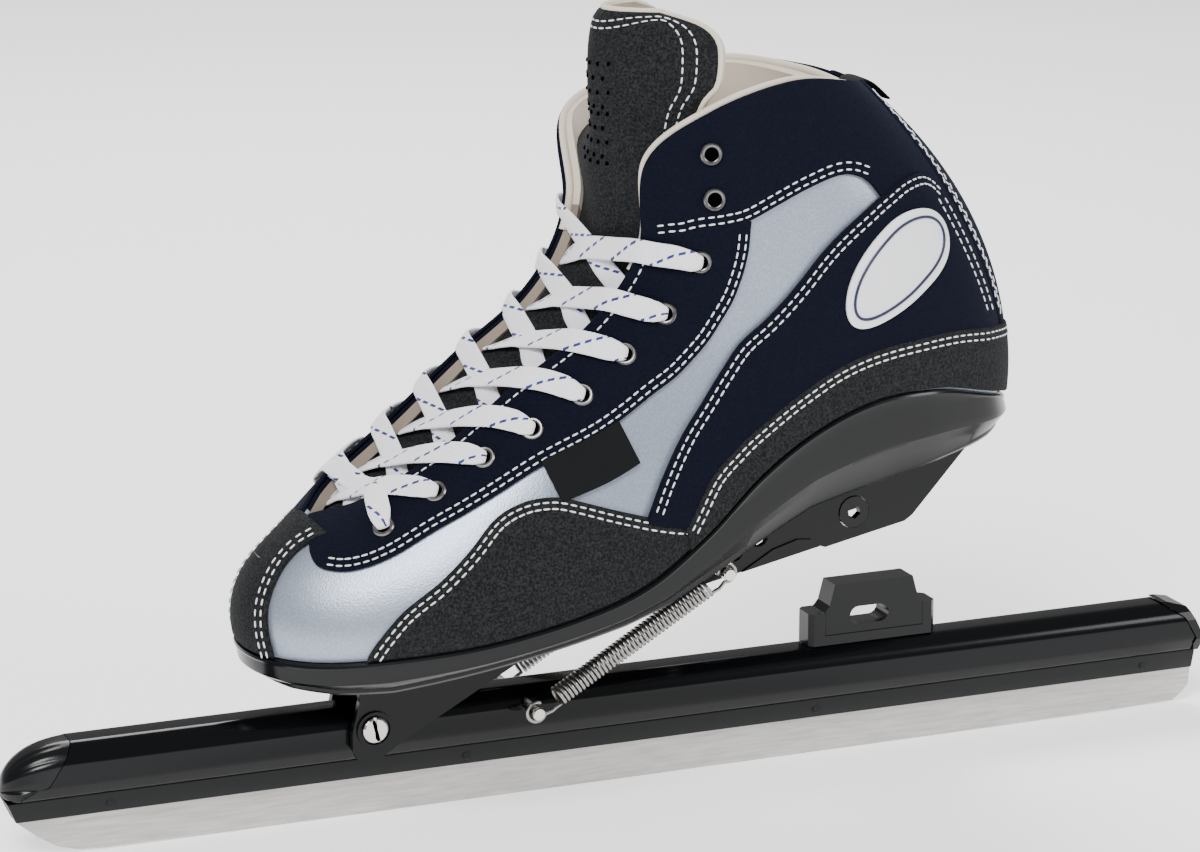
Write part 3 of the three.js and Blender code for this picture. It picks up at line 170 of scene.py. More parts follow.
# The inner side of the throat and collar stands this much further out, [x, y, z] per rib.
INNER_LIFT = [(0, 0, 0), (0, 0, 0), (0, 1, 0), (-4, 4, 3), (-5, 5, 5), (-5, 4, 6), (-5.5, 4, 6.5),
              (-6, 5, 7), (-6, 7, 8), (-4, 10, 8), (0, 4, 3), (0, 0, 0), (0, 0, 0), (0, 0, 0)]


def rib_loop():
    """Control points of all ribs once round the boot: outer side, heel, inner side."""
    loop = []
    for r in range(ROUND):
        k = r if r <= HEEL else ROUND - r
        hand = -1 if r <= HEEL else 1
        centre = RIBS[k][4]
        points = np.array([(x, centre + hand * w, z) for x, z, w in RIBS[k][:4]], float)
        if hand > 0:
            points[3] += INNER_LIFT[k]
            points[2] += 0.6 * np.array(INNER_LIFT[k])
        loop.append(points)
    return np.array(loop)


LOOP = rib_loop()


def surface(r, t):
    """Points of the upper at places r round the boot and height shares t."""
    r, t = np.broadcast_arrays(np.asarray(r, float), np.asarray(t, float))
    k = np.floor(r).astype(int)
    f = r - k
    bezier = ((1 - t) ** 3, 3 * t * (1 - t) ** 2, 3 * t * t * (1 - t), t**3)
    out = np.zeros(r.shape + (3,))
    for j, weight in enumerate(spline_weights(f)):
        ribs = LOOP[(k + j - 1) % ROUND]
        for i, share in enumerate(bezier):
            out += (weight * share)[..., None] * ribs[..., i, :]
    return out


def normal(r, t):
    """Unit vectors out of the upper."""
    e = 0.01
    t = np.clip(t, 0.0, 1.0)
    around = surface(r + e, t) - surface(r - e, t)
    up = surface(r, np.minimum(t + e, 1)) - surface(r, np.maximum(t - e, 0))
    return unit(np.cross(around, up))


def on_surface(r, t, stand):
    r, t, stand = np.broadcast_arrays(r, t, stand)
    return surface(r, t) + normal(r, t) * stand[..., None]


def place(side, s):
    """Place round the boot of rib place s on one side, 'outer' or 'inner'."""
    return s if side == "outer" else ROUND - np.asarray(s, float)


# ---- meshes

def new_object(name, vertices, faces, material, uv=None, sharp=40, body="boot"):
    """A closed mesh in metres from points in millimetres, smooth except at sharp edges."""
    mesh = bpy.data.meshes.new(name)
    mesh.from_pydata((np.asarray(vertices, float) * MM).tolist(), [], [list(f) for f in faces])
    if uv is not None:
        layer = mesh.uv_layers.new(name="UVMap")
        index = np.empty(len(mesh.loops), int)
        mesh.loops.foreach_get("vertex_index", index)
        layer.data.foreach_set("uv", np.asarray(uv, float)[index].astype(np.float32).ravel())
    work = bmesh.new()
    work.from_mesh(mesh)
    bmesh.ops.remove_doubles(work, verts=work.verts, dist=1e-7)
    bmesh.ops.recalc_face_normals(work, faces=work.faces)
    for face in work.faces:
        face.smooth = True
    for edge in work.edges:
        if len(edge.link_faces) == 2:
            edge.smooth = edge.calc_face_angle(0) < math.radians(sharp)
    work.to_mesh(mesh)
    work.free()
    mesh.materials.append(material)
    obj = bpy.data.objects.new(name, mesh)
    bpy.context.scene.collection.objects.link(obj)
    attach(obj, body)
    return obj


def grid_faces(rows, columns, start=0, wrap_rows=False, wrap_columns=False):
    i = np.arange(rows if wrap_rows else rows - 1)
    j = np.arange(columns if wrap_columns else columns - 1)
    i, j = np.meshgrid(i, j, indexing="ij")
    i2, j2 = (i + 1) % rows, (j + 1) % columns
    quads = np.stack([i * columns + j, i2 * columns + j, i2 * columns + j2, i * columns + j2], axis=-1)
    return (quads.reshape(-1, 4) + start).tolist()


def end_faces(rows, columns):
    """The two faces that close the ends of a grid of rings."""
    return [tuple(range(columns)), tuple(rows * columns - 1 - k for k in range(columns))]


def slab(name, outer, inner, material, wrap=False):
    """A closed skin between two grids of points; wrap joins the last row to the first."""
    rows, columns = outer.shape[:2]
    count = rows * columns
    faces = grid_faces(rows, columns, 0, wrap) + grid_faces(rows, columns, count, wrap)
    for i in range(rows if wrap else rows - 1):
        a, b = i * columns, (i + 1) % rows * columns
        faces.append((a, b, b + count, a + count))
        faces.append((a + columns - 1, b + columns - 1, b + columns - 1 + count, a + columns - 1 + count))
    if not wrap:
        for j in range(columns - 1):
            faces.append((j, j + 1, j + 1 + count, j + count))
            a = (rows - 1) * columns + j
            faces.append((a, a + 1, a + 1 + count, a + count))
    along = lengths_along(outer[:, columns // 2]) * MM
    across = np.linspace(0, 1, columns)
    uv = np.stack(np.broadcast_arrays(along[:, None], across[None]), axis=-1).reshape(-1, 2)
    vertices = np.concatenate([outer.reshape(-1, 3), inner.reshape(-1, 3)])
    return new_object(name, opened(vertices), faces, material, np.vstack([uv, uv]))


def tube(points, radius, sides=10, closed=False):
    """Rings of points round a path: returns vertices and faces."""
    p = np.array(points, float)
    if closed:
        tangent = unit(np.roll(p, -1, axis=0) - np.roll(p, 1, axis=0))
    else:
        tangent = unit(np.gradient(p, axis=0))
    side = np.cross(tangent[0], (0, 0, 1))
    if np.linalg.norm(side) < 1e-3:
        side = np.array((0, 1.0, 0))
    a = np.arange(sides) / sides * 2 * math.pi
    rings = []
    for k in range(len(p)):
        side = side - tangent[k] * side.dot(tangent[k])
        side = side / np.linalg.norm(side)
        up = np.cross(tangent[k], side)
        rings.append(p[k] + radius * (np.cos(a)[:, None] * side + np.sin(a)[:, None] * up))
    faces = grid_faces(len(p), sides, 0, closed, True)
    if not closed:
        faces += end_faces(len(p), sides)
    return np.concatenate(rings), faces


def gather(parts):
    """Joins [vertices, faces] pieces into one list of each."""
    vertices, faces, count = [], [], 0
    for v, f in parts:
        vertices.append(np.asarray(v, float))
        faces += [[i + count for i in face] for face in f]
        count += len(v)
    return np.concatenate(vertices), faces


def turned_shape(profile, sides=32):
    """A closed shape turned round Z from [radius, height] points that start and end on the axis."""
    a = np.arange(sides) / sides * 2 * math.pi
    body = np.array([[(r * math.cos(k), r * math.sin(k), z) for k in a] for r, z in profile[1:-1]])
    vertices = np.concatenate([body.reshape(-1, 3), [(0, 0, profile[0][1]), (0, 0, profile[-1][1])]])
    faces = grid_faces(len(body), sides, 0, False, True)
    first, last = len(vertices) - 2, len(vertices) - 1
    end = (len(body) - 1) * sides
    for k in range(sides):
        faces.append((first, (k + 1) % sides, k))
        faces.append((last, end + k, end + (k + 1) % sides))
    return vertices, faces


def stood_on(shape, at, up, along=(1, 0, 0)):
    """A shape moved so its Z runs along up and its X near along, at a point."""
    vertices, faces = shape
    z = np.array(up, float) / np.linalg.norm(up)
    x = np.array(along, float) - z * np.dot(along, z)
    x = x / np.linalg.norm(x)
    y = np.cross(z, x)
    return vertices @ np.array([x, y, z]) + np.array(at, float), faces


# ---- materials

def shader(name, color, roughness, metallic=0.0, sheen=0.0, specular=0.5):
    mat = bpy.data.materials.new(name)
    mat.use_nodes = True
    tree = mat.node_tree
    base = tree.nodes["Principled BSDF"]
    base.inputs["Base Color"].default_value = (*color, 1)
    base.inputs["Roughness"].default_value = roughness
    base.inputs["Metallic"].default_value = metallic
    base.inputs["Sheen Weight"].default_value = sheen
    base.inputs["Specular IOR Level"].default_value = specular
    return mat, tree, base


def node(tree, kind, **values):
    made = tree.nodes.new(kind)
    for key, value in values.items():
        made.inputs[key].default_value = value
    return made


def maths(tree, operation, a, b=0.0):
    made = tree.nodes.new("ShaderNodeMath")
    made.operation = operation
    for socket, value in zip(made.inputs, (a, b)):
        if isinstance(value, (int, float)):
            socket.default_value = value
        else:
            tree.links.new(value, socket)
    return made.outputs[0]


def grain(tree, base, scale, strength, depth, kind="noise", stretch=(1, 1, 1)):
    """A fine relief in the piece's own coordinates; returns its height."""
    coords = tree.nodes.new("ShaderNodeTexCoord")
    mapping = node(tree, "ShaderNodeMapping", Scale=stretch)
    tree.links.new(coords.outputs["Object"], mapping.inputs["Vector"])
    if kind == "cells":
        texture = node(tree, "ShaderNodeTexVoronoi", Scale=scale)
        height = texture.outputs["Distance"]
    else:
        texture = node(tree, "ShaderNodeTexNoise", Scale=scale, Detail=4.0, Roughness=0.6)
        height = texture.outputs["Fac"]
    tree.links.new(mapping.outputs["Vector"], texture.inputs["Vector"])
    bump = node(tree, "ShaderNodeBump", Strength=strength, Distance=depth)
    tree.links.new(height, bump.inputs["Height"])
    tree.links.new(bump.outputs["Normal"], base.inputs["Normal"])
    return height


def tint(tree, base, height, low, high, dark, light):
    """Colours a surface from dark to light as height goes from low to high."""
    ramp = tree.nodes.new("ShaderNodeValToRGB")
    ramp.color_ramp.elements[0].position = low
    ramp.color_ramp.elements[0].color = (*dark, 1)
    ramp.color_ramp.elements[1].position = high
    ramp.color_ramp.elements[1].color = (*light, 1)
    tree.links.new(height, ramp.inputs["Fac"])
    tree.links.new(ramp.outputs["Color"], base.inputs["Base Color"])


def simple(name, color, roughness, metallic=0.0, bump=None, **more):
    mat, tree, base = shader(name, color, roughness, metallic, **more)
    if bump:
        grain(tree, base, *bump)
    return mat


def silver_leather():
    mat, tree, base = shader("silver leather", (0.30, 0.34, 0.41), 0.38, 0.55)
    height = grain(tree, base, 1500, 0.14, 0.0003, "cells")
    tint(tree, base, height, 0.0, 0.7, (0.25, 0.285, 0.35), (0.325, 0.37, 0.45))
    return mat


def suede():
    mat, tree, base = shader("navy suede", (0.003, 0.005, 0.016), 0.95, 0.0, sheen=0.03, specular=0.12)
    height = grain(tree, base, 1600, 0.5, 0.0005)
    tint(tree, base, height, 0.35, 0.8, (0.0007, 0.0011, 0.0045), (0.0034, 0.0048, 0.0150))
    base.inputs["Sheen Tint"].default_value = (0.3, 0.4, 0.8, 1)
    return mat


def nubuck():
    mat, tree, base = shader("black nubuck", (0.01, 0.011, 0.012), 0.85, 0.0, sheen=0.015, specular=0.12)
    height = grain(tree, base, 1300, 0.9, 0.0007)
    tint(tree, base, height, 0.4, 0.75, (0.004, 0.0043, 0.0048), (0.028, 0.030, 0.033))
    return mat


def lace_cloth():
    """White flat weave with a navy tracer thread that crosses the lace in dashes."""
    mat, tree, base = shader("lace", (0.80, 0.80, 0.84), 0.85, sheen=0.3)
    uv = tree.nodes.new("ShaderNodeUVMap")
    split = tree.nodes.new("ShaderNodeSeparateXYZ")
    tree.links.new(uv.outputs["UV"], split.inputs[0])
    along, across = split.outputs[0], split.outputs[1]
    turn = maths(tree, "FRACT", maths(tree, "MULTIPLY", along, 1 / TRACER_PITCH))
    distance = maths(tree, "ABSOLUTE", maths(tree, "SUBTRACT", maths(tree, "MULTIPLY", turn, 1.3), across))
    line = maths(tree, "LESS_THAN", distance, 0.07)
    dash = maths(tree, "FRACT", maths(tree, "MULTIPLY", along, 1 / TRACER_DASH))
    dash = maths(tree, "LESS_THAN", dash, 0.62)
    mask = maths(tree, "MULTIPLY", line, dash)
    mix = tree.nodes.new("ShaderNodeMix")
    mix.data_type = "RGBA"
    mix.inputs[6].default_value = (0.80, 0.80, 0.84, 1)
    mix.inputs[7].default_value = (0.01, 0.015, 0.14, 1)
    tree.links.new(mask, mix.inputs[0])
    tree.links.new(mix.outputs[2], base.inputs["Base Color"])
    wave_u = maths(tree, "SINE", maths(tree, "MULTIPLY", along, 2 * math.pi / 0.0009))
    wave_v = maths(tree, "SINE", maths(tree, "MULTIPLY", across, 2 * math.pi * 9))
    bump = node(tree, "ShaderNodeBump", Strength=0.5, Distance=0.00015)
    tree.links.new(maths(tree, "MULTIPLY", wave_u, wave_v), bump.inputs["Height"])
    tree.links.new(bump.outputs["Normal"], base.inputs["Normal"])
    return mat


def ground_steel():
    mat, tree, base = shader("ground steel", (0.5, 0.49, 0.47), 0.42, 0.7)
    height = grain(tree, base, 60, 0.12, 0.0003, stretch=(1, 1, 14))
    tint(tree, base, height, 0.3, 0.7, (0.40, 0.39, 0.375), (0.56, 0.55, 0.53))
    return mat


SILVER = silver_leather()
SUEDE = suede()
NUBUCK = nubuck()
LACE = lace_cloth()
STEEL = ground_steel()
BEIGE = simple("beige lining", (0.60, 0.53, 0.44), 0.8, bump=(900, 0.3, 0.0003), sheen=0.2)
TAUPE = simple("taupe lining", (0.21, 0.17, 0.13), 0.85, bump=(500, 0.5, 0.0005), sheen=0.2)
THREAD = simple("white thread", (0.68, 0.69, 0.71), 0.7)
BLACK_SHELL = simple("sole shell", (0.003, 0.0033, 0.004), 0.2, bump=(260, 0.03, 0.0003), specular=0.26)
GLOSS = simple("tube lacquer", (0.002, 0.0023, 0.003), 0.16, bump=(30, 0.02, 0.0003), specular=0.2)
MATTE = simple("holder black", (0.004, 0.0045, 0.005), 0.42, bump=(700, 0.1, 0.0002), specular=0.22)
ANODISED = simple("anodised black", (0.003, 0.0033, 0.0038), 0.3, bump=(900, 0.06, 0.0002), specular=0.22)
PLASTIC = simple("dark plastic", (0.003, 0.0033, 0.004), 0.24, bump=(500, 0.06, 0.0002), specular=0.24)
BRIGHT = simple("bright steel", (0.66, 0.64, 0.60), 0.22, 1.0, bump=(300, 0.05, 0.0002))
WIRE = simple("spring wire", (0.33, 0.315, 0.30), 0.3, 1.0, bump=(400, 0.05, 0.0001))
GUNMETAL = simple("gunmetal", (0.16, 0.155, 0.15), 0.3, 1.0, bump=(500, 0.08, 0.0001))
# Flat black without gloss: painted shade for the dark insides of holes, eyelet bores and screw slots.
PAINTED_HOLE_SHADE = simple("hole_shade", (0.001, 0.001, 0.001), 1.0, specular=0.0)
BADGE_WHITE = simple("badge", (0.74, 0.75, 0.78), 0.5, bump=(400, 0.05, 0.0002))
BADGE_NAVY = simple("badge ring", (0.004, 0.006, 0.04), 0.5)
LABEL = simple("label", (0.003, 0.0035, 0.004), 0.8, bump=(1500, 0.4, 0.0003), specular=0.15)
FELT = simple("insole felt", (0.30, 0.26, 0.22), 0.95, bump=(700, 0.5, 0.0005))


# ---- panels of the upper

TOP = STAND + LEATHER

# Edges of the panels, as [s, t] points along them.
WAVE_TOP = height_curve([(2.74, -0.02), (2.80, 0.06), (2.95, 0.16), (3.25, 0.30), (3.65, 0.40), (4.0, 0.49),
                         (4.33, 0.57), (4.65, 0.58), (5.0, 0.545), (5.3, 0.49), (5.9, 0.36), (6.3, 0.26),
                         (6.78, 0.13), (6.95, 0.09), (7.15, 0.03)])
EYESTAY_LOW = height_curve([(2.03, 0.79), (2.15, 0.67), (2.45, 0.61), (2.8, 0.59), (3.2, 0.60), (3.75, 0.645),
                            (4.5, 0.66), (5.2, 0.66), (6.2, 0.635), (6.9, 0.61), (7.5, 0.565), (8.1, 0.535),
                            (8.75, 0.53), (9.1, 0.555), (9.4, 0.60), (9.66, 0.665)])
COLLAR_LOW = height_curve([(8.22, 0.95), (8.37, 0.895), (8.79, 0.79), (9.07, 0.745), (9.36, 0.70),
                           (9.65, 0.67), (10.04, 0.665), (10.44, 0.675), (10.8, 0.685), (11.02, 0.675),
                           (11.15, 0.645), (11.25, 0.56), (11.7, 0.36), (12.2, 0.20), (12.6, 0.17)])
QUARTER_TOP = height_curve([(6.2, 0.26), (6.6, 0.35), (7.1, 0.41), (7.7, 0.42), (8.45, 0.43), (9.1, 0.42),
                            (9.75, 0.45), (10.6, 0.54), (11.2, 0.605), (11.61, 0.65), (11.95, 0.67),
                            (12.16, 0.66), (12.26, 0.62), (12.28, 0.56), (12.29, 0.42), (12.3, 0.24)])
BAND_TOP = height_curve([(6.7, 0.11), (7.25, 0.19), (7.8, 0.18), (8.4, 0.165), (9.0, 0.16), (9.6, 0.165),
                         (10.3, 0.17), (11.0, 0.18), (11.75, 0.21), (13.0, 0.225)])
BACK_STAY = 12.40      # rib place where the heel strip begins


def panel_grid(r, low, high, rows, low_stand, high_stand):
    """Outer and inner grids of a panel at places r between height shares low and high. Its
    outer face rolls down at all four edges."""
    height = np.linalg.norm(surface(r, high) - surface(r, low), axis=1)
    edge = np.clip(0.5 / np.maximum(height, 1), 0, 0.3)
    v = np.linspace(0, 1, rows)
    inside = [edge + (1 - 2 * edge) * x for x in v[1:-1]]
    shares = np.stack([0 * edge, edge, *inside, 1 - edge, 1 + 0 * edge], 1)
    t = low[:, None] + (high - low)[:, None] * shares
    drop = np.zeros_like(t)
    drop[:, [0, -1]] = drop[[0, -1]] = EDGE_DROP
    outer = on_surface(r[:, None], t, high_stand - drop)
    inner = on_surface(r[:, None], t, np.full_like(t, low_stand))
    return outer, inner


def spread(from_s, to_s, count):
    """Places from one end of a panel to the other, with a close one at each end."""
    s = np.linspace(from_s, to_s, count)
    return np.concatenate([[s[0], s[0] + 0.02], s[1:-1], [s[-1] - 0.02, s[-1]]])


def side_panel(name, side, from_s, to_s, low, high, material, count, rows, low_stand=STAND, high_stand=TOP):
    s = spread(from_s, to_s, count)
    outer, inner = panel_grid(place(side, s), low(s), high(s), rows, low_stand, high_stand)
    return slab(name, outer, inner, material)


stitches = []          # of the whole boot: [place, way along, way out, length] each


def stitch_path(r, t, offset, stand, pitch=STITCH_PITCH, length=STITCH_LENGTH):
    """Adds stitches beside a line on the upper, offset along the surface to its left."""
    line = surface(r, t)
    steps = lengths_along(line)
    even = np.arange(pitch * 0.5, steps[-1] - pitch * 0.5, pitch)
    r, t = np.interp(even, steps, r), np.interp(even, steps, t)
    at, out = surface(r, t), normal(r, t)
    along = unit(np.gradient(at, axis=0))
    left = np.cross(out, along)
    for p, n, a, b in zip(at, out, along, left):
        stitches.append((p + b * offset + n * stand, a, n, length))


def stitch_edge(side, curve, from_s, to_s, offsets, stand=TOP, count=200):
    """Double rows along a panel's edge; a positive offset lies below the edge."""
    s = np.linspace(from_s, to_s, count)
    sign = -1 if side == "outer" else 1
    for offset in offsets:
        stitch_path(place(side, s), curve(s), sign * offset, stand)


def capsule():
    """One stitch 1 long along X, and its radius 1 in Y and Z."""
    rings = [(-0.5, 0.25), (-0.42, 0.8), (-0.2, 1.0), (0.2, 1.0), (0.42, 0.8), (0.5, 0.25)]
    a = np.arange(6) / 6 * 2 * math.pi
    v = np.array([[(x, r * math.cos(k), r * math.sin(k)) for k in a] for x, r in rings]).reshape(-1, 3)
    return v, grid_faces(len(rings), 6, 0, False, True) + end_faces(len(rings), 6)


def build_stitches():
    shape, faces = capsule()
    parts = []
    for at, along, out, length in stitches:
        across = np.cross(out, along)
        size = np.array([length, STITCH_RADIUS, STITCH_RADIUS])
        parts.append((shape * size @ np.array([along, across, out]) + at, faces))
    vertices, all_faces = gather(parts)
    made = new_object("seam_stitches", opened(vertices), all_faces, THREAD, sharp=180)


def build_upper():
    """The silver leather all the way round, and the lining inside it."""
    r = np.linspace(0, ROUND, 321)[:-1]
    t = np.linspace(0, 1, 34)
    leather = slab("silver_leather", on_surface(r[:, None], t[None], 0.0),
                   on_surface(r[:, None], t[None], -LEATHER), SILVER, wrap=True)
    leather.data.materials.append(SUEDE)
    for face in leather.data.polygons:
        rows = [k % (len(r) * len(t)) // len(t) for k in face.vertices]
        columns = [k % len(t) for k in face.vertices]
        covered = min(r[rows[0]], ROUND - r[rows[0]]) > 2.2
        face.material_index = int(covered and min(columns) >= len(t) - 3)
    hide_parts("upper_outer", "upper_inner")
    lining_t = np.linspace(0.0, 1.0, 26)
    swell = 1.3 * np.sin(math.pi * np.clip((lining_t - 0.62) / 0.38, 0, 1))
    collar = np.clip((np.minimum(r, ROUND - r) - 8.2) / 0.8, 0, 1)
    depth = LINING_DEPTH + collar[:, None] * swell[None]
    lining = slab("boot_lining", on_surface(r[:, None], lining_t[None], -LEATHER - 0.15),
                  on_surface(r[:, None], lining_t[None], -depth), BEIGE, wrap=True)
    lining.data.materials.append(TAUPE)
    for face in lining.data.polygons:
        row = face.vertices[0] % (len(r) * 26) // 26
        face.material_index = int(min(r[row], ROUND - r[row]) < 7.9)
    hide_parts("lining_outer", "lining_inner")


def build_panels(side):
    wave = side_panel(f"wave_{side}", side, 2.76, 6.9, lambda s: 0 * s + RIM_GAP, WAVE_TOP, NUBUCK, 150, 22)
    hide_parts(f"wave_panel_{side}")
    stitch_edge(side, WAVE_TOP, 2.80, 6.9, (1.7, 1.7 + ROW_GAP * 0.9))

    def top(s):
        return np.where(s < 8.27, 1.0, np.minimum(COLLAR_LOW(s) + 0.02, 1.0))

    stay = side_panel(f"throat_stay_{side}", side, 2.06, 9.66, EYESTAY_LOW, top, SUEDE, 170, 16)
    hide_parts(f"eyestay_{side}")
    stitch_edge(side, EYESTAY_LOW, 2.3, 9.6, (-1.4, -1.4 - ROW_GAP))
    stitch_edge(side, lambda s: 0 * s + 1.0, 3.05, 7.95, (3.6,), count=120)

    def quarter_low(s):
        return np.where(s < 6.75, WAVE_TOP(s) - 0.03, BAND_TOP(s) - 0.02)

    quarter = side_panel(f"quarter_{side}", side, 6.22, 12.285, quarter_low, QUARTER_TOP, SUEDE, 190, 24,
                         STAND + 0.1, TOP + QUARTER_OVER)
    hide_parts(f"heel_quarter_{side}")
    stitch_edge(side, QUARTER_TOP, 6.3, 12.265, (1.5, 1.5 + ROW_GAP), TOP + QUARTER_OVER, 2400)
    back = np.linspace(0.26, 0.60, 60)
    for step in (0.09, 0.24):
        stitch_path(place(side, 12.28 - step + 0 * back), back, 0, TOP + QUARTER_OVER)

    collar = side_panel(f"collar_panel_{side}", side, 8.26, BACK_STAY + 0.05, COLLAR_LOW,
                        lambda s: 0 * s + 1.0, SUEDE, 160, 26)
    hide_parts(f"collar_{side}")
    stitch_edge(side, COLLAR_LOW, 8.40, 11.14, (-1.5, -1.5 - ROW_GAP))


def round_heel(s):
    """Places from s on the outer side round the heel to s on the inner side."""
    return np.concatenate([s, (ROUND - s)[::-1][1:]])


def build_round_heel():
    r = round_heel(np.linspace(6.72, HEEL, 100))
    s_all = np.minimum(r, ROUND - r)
    outer, inner = panel_grid(r, 0 * r + RIM_GAP, BAND_TOP(s_all), 12, STAND + 0.1, TOP + BAND_OVER)
    band = slab("heel_wrap", outer, inner, NUBUCK)
    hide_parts("heel_band")
    for offset in (1.7, 1.7 + ROW_GAP * 0.9):
        stitch_path(r, BAND_TOP(s_all), -offset, TOP + BAND_OVER)
    r = round_heel(np.linspace(BACK_STAY, HEEL, 16))
    s_all = np.minimum(r, ROUND - r)
    outer, inner = panel_grid(r, BAND_TOP(s_all) - 0.02, 0 * r + 1.0, 50, STAND + 0.3, TOP + STRIP_OVER)
    stay = slab("heel_strip", outer, inner, SUEDE)
    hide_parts("back_stay")
    t = np.linspace(0.25, 0.97, 600)
    for side in SIDES:
        stitch_path(place(side, BACK_STAY + 0.08 + 0.05 * np.sin(t * 220)), t, 0, TOP + STRIP_OVER, 2.6, 2.2)


def build_toe_stripe():
    edge = smooth_path([(1.15, RIM_GAP), (1.13, 0.12), (1.09, 0.28), (1.11, 0.45), (1.25, 0.60), (1.47, 0.71),
                        (1.78, 0.78), (2.07, 0.81), (2.42, 0.83)], 60)
    middle = smooth_path([(0, RIM_GAP), (0, 0.15), (0, 0.35), (0, 0.6), (0, 0.85), (0.5, 1), (1, 1), (1.5, 1),
                          (2.05, 1)], 60)
    middle[:, 0] = np.maximum(middle[:, 0], 0)
    middle[:, 1] = np.minimum(middle[:, 1], 1)
    share = np.concatenate([[0, 0.03], np.linspace(0.08, 1, 12)])
    st = edge[:, None] + (middle - edge)[:, None] * share[None, :, None]
    drop = np.zeros(st.shape[:2])
    drop[:, 0] = drop[0] = drop[-1] = EDGE_DROP

    def face(stand, fall):
        """Both halves as one grid, smoothed where they meet over the toe."""
        out = on_surface(st[..., 0], st[..., 1], stand - fall)
        inn = on_surface(ROUND - st[..., 0], st[..., 1], stand - fall)
        grid = np.concatenate([out, inn[:, ::-1][:, 1:]], axis=1)
        centre = out.shape[1] - 1
        grid[:, centre] = 0.5 * (out[:, -1] + inn[:, -1])
        for _ in range(6):
            near = 0.5 * (grid[1:-1, centre - 5:centre + 4] + grid[1:-1, centre - 3:centre + 6])
            grid[1:-1, centre - 4:centre + 5] = 0.5 * grid[1:-1, centre - 4:centre + 5] + 0.5 * near
        return grid

    stripe = slab("toe_band", face(TOP + 0.2, drop), face(STAND + 0.2, 0 * drop), NUBUCK)
    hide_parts("toe_stripe")
    for side, sign in zip(SIDES, (1, -1)):
        for offset in (1.6, 1.6 + ROW_GAP):
            stitch_path(place(side, edge[:-5, 0]), edge[:-5, 1], sign * offset, TOP + 0.45)


def build_piping():
    """Beige edge round the collar, from the top of the throat on both sides."""
    r = round_heel(np.linspace(7.45, HEEL, 120))
    path = on_surface(r, 1.0, -1.1)
    up = unit(surface(r, 1.0) - surface(r, 0.97))
    vertices, faces = tube(opened(path + up * 0.3), PIPING_RADIUS, 12)
    piping = new_object("collar_piping", vertices, faces, BEIGE)


def build_heel_tab():
    """The short black tape folded over the collar at the heel."""
    r = 0.5 * ROUND
    up = unit(surface(r, 1.0) - surface(r, 0.95))
    points = [on_surface(r, 0.93, TOP + 1.5), on_surface(r, 0.985, TOP + 1.6),
              on_surface(r, 1.0, TOP - 0.6) + up * 1.9, on_surface(r, 1.0, -4.6) + up * 1.7,
              on_surface(r, 0.96, -6.9)]
    facing = [normal(r, 0.93), normal(r, 0.98), up, up - normal(r, 1.0) * 0.4, -normal(r, 0.96)]
    vertices, faces, uv = ribbon(np.array(points), facing, [13] * 5, [1.1] * 5)
    tab = new_object("heel_tab", opened(vertices), faces, LABEL, uv, 60)


# ---- tongue

# How far the tongue's middle stands above the throat's edges, [s, millimetres].
TONGUE_RISE = [(2.6, -3.5), (4, -3.2), (6, -2.6), (7, -1.2), (8, 2), (8.7, 4)]
TONGUE_TOP = [  # middle [x, y, z], half-width, how far back and down its sides go
    (24.5, 3.2, 194, 24.2, 25, 0), (26.2, 4.2, 204, 27, 30.5, 2.5), (28.8, 4.8, 215, 27.5, 31, 4.5),
    (31.0, 5, 221.5, 26.5, 29, 6.0), (33.2, 5, 226, 22.5, 24, 6.0), (35.2, 5, 228.5, 14, 13, 3.0)]

TONGUE_THICKNESS = 4.2
BOUND, STITCHED = 45, 52      # rows of the tongue's grid where its binding and stitches begin


def throat_point(s, above):
    """A point in the middle of the throat, above the tongue's face, and the way out there."""
    rise = np.interp(s, *np.array(TONGUE_RISE).T)
    ends = [surface(place(side, s), 1.0) for side in SIDES]
    out = unit(sum(normal(place(side, s), 1.0) for side in SIDES))
    return 0.5 * (ends[0] + ends[1]) + out * (rise + above), out


def tongue_grid(depth):
    """Points of the tongue at a depth below its face, 90 along it and 41 across."""
    slices = []
    for s in (2.55, 2.9, 3.4, 4, 5, 6, 7, 8, 8.6):
        middle = throat_point(s, -depth)[0]
        margins = [[on_surface(place(side, s), t, -5.9 - depth) for t in (0.86, 0.94, 1.0)]
                   for side in SIDES]
        slices.append([*margins[0], middle, *margins[1][::-1]])
    for x, y, z, half, back, down in TONGUE_TOP:
        slices.append([(x + back * k * k + depth * 0.94, y + (half - depth * 0.7 * abs(k)) * k,
                        z - down * k * k - depth * 0.35) for k in (-1, -0.75, -0.42, 0, 0.42, 0.75, 1)])
    fine = np.array([smooth_path(piece, 41) for piece in np.array(slices, float)])
    return np.array([smooth_path(fine[:, j], 90) for j in range(fine.shape[1])]).transpose(1, 0, 2)


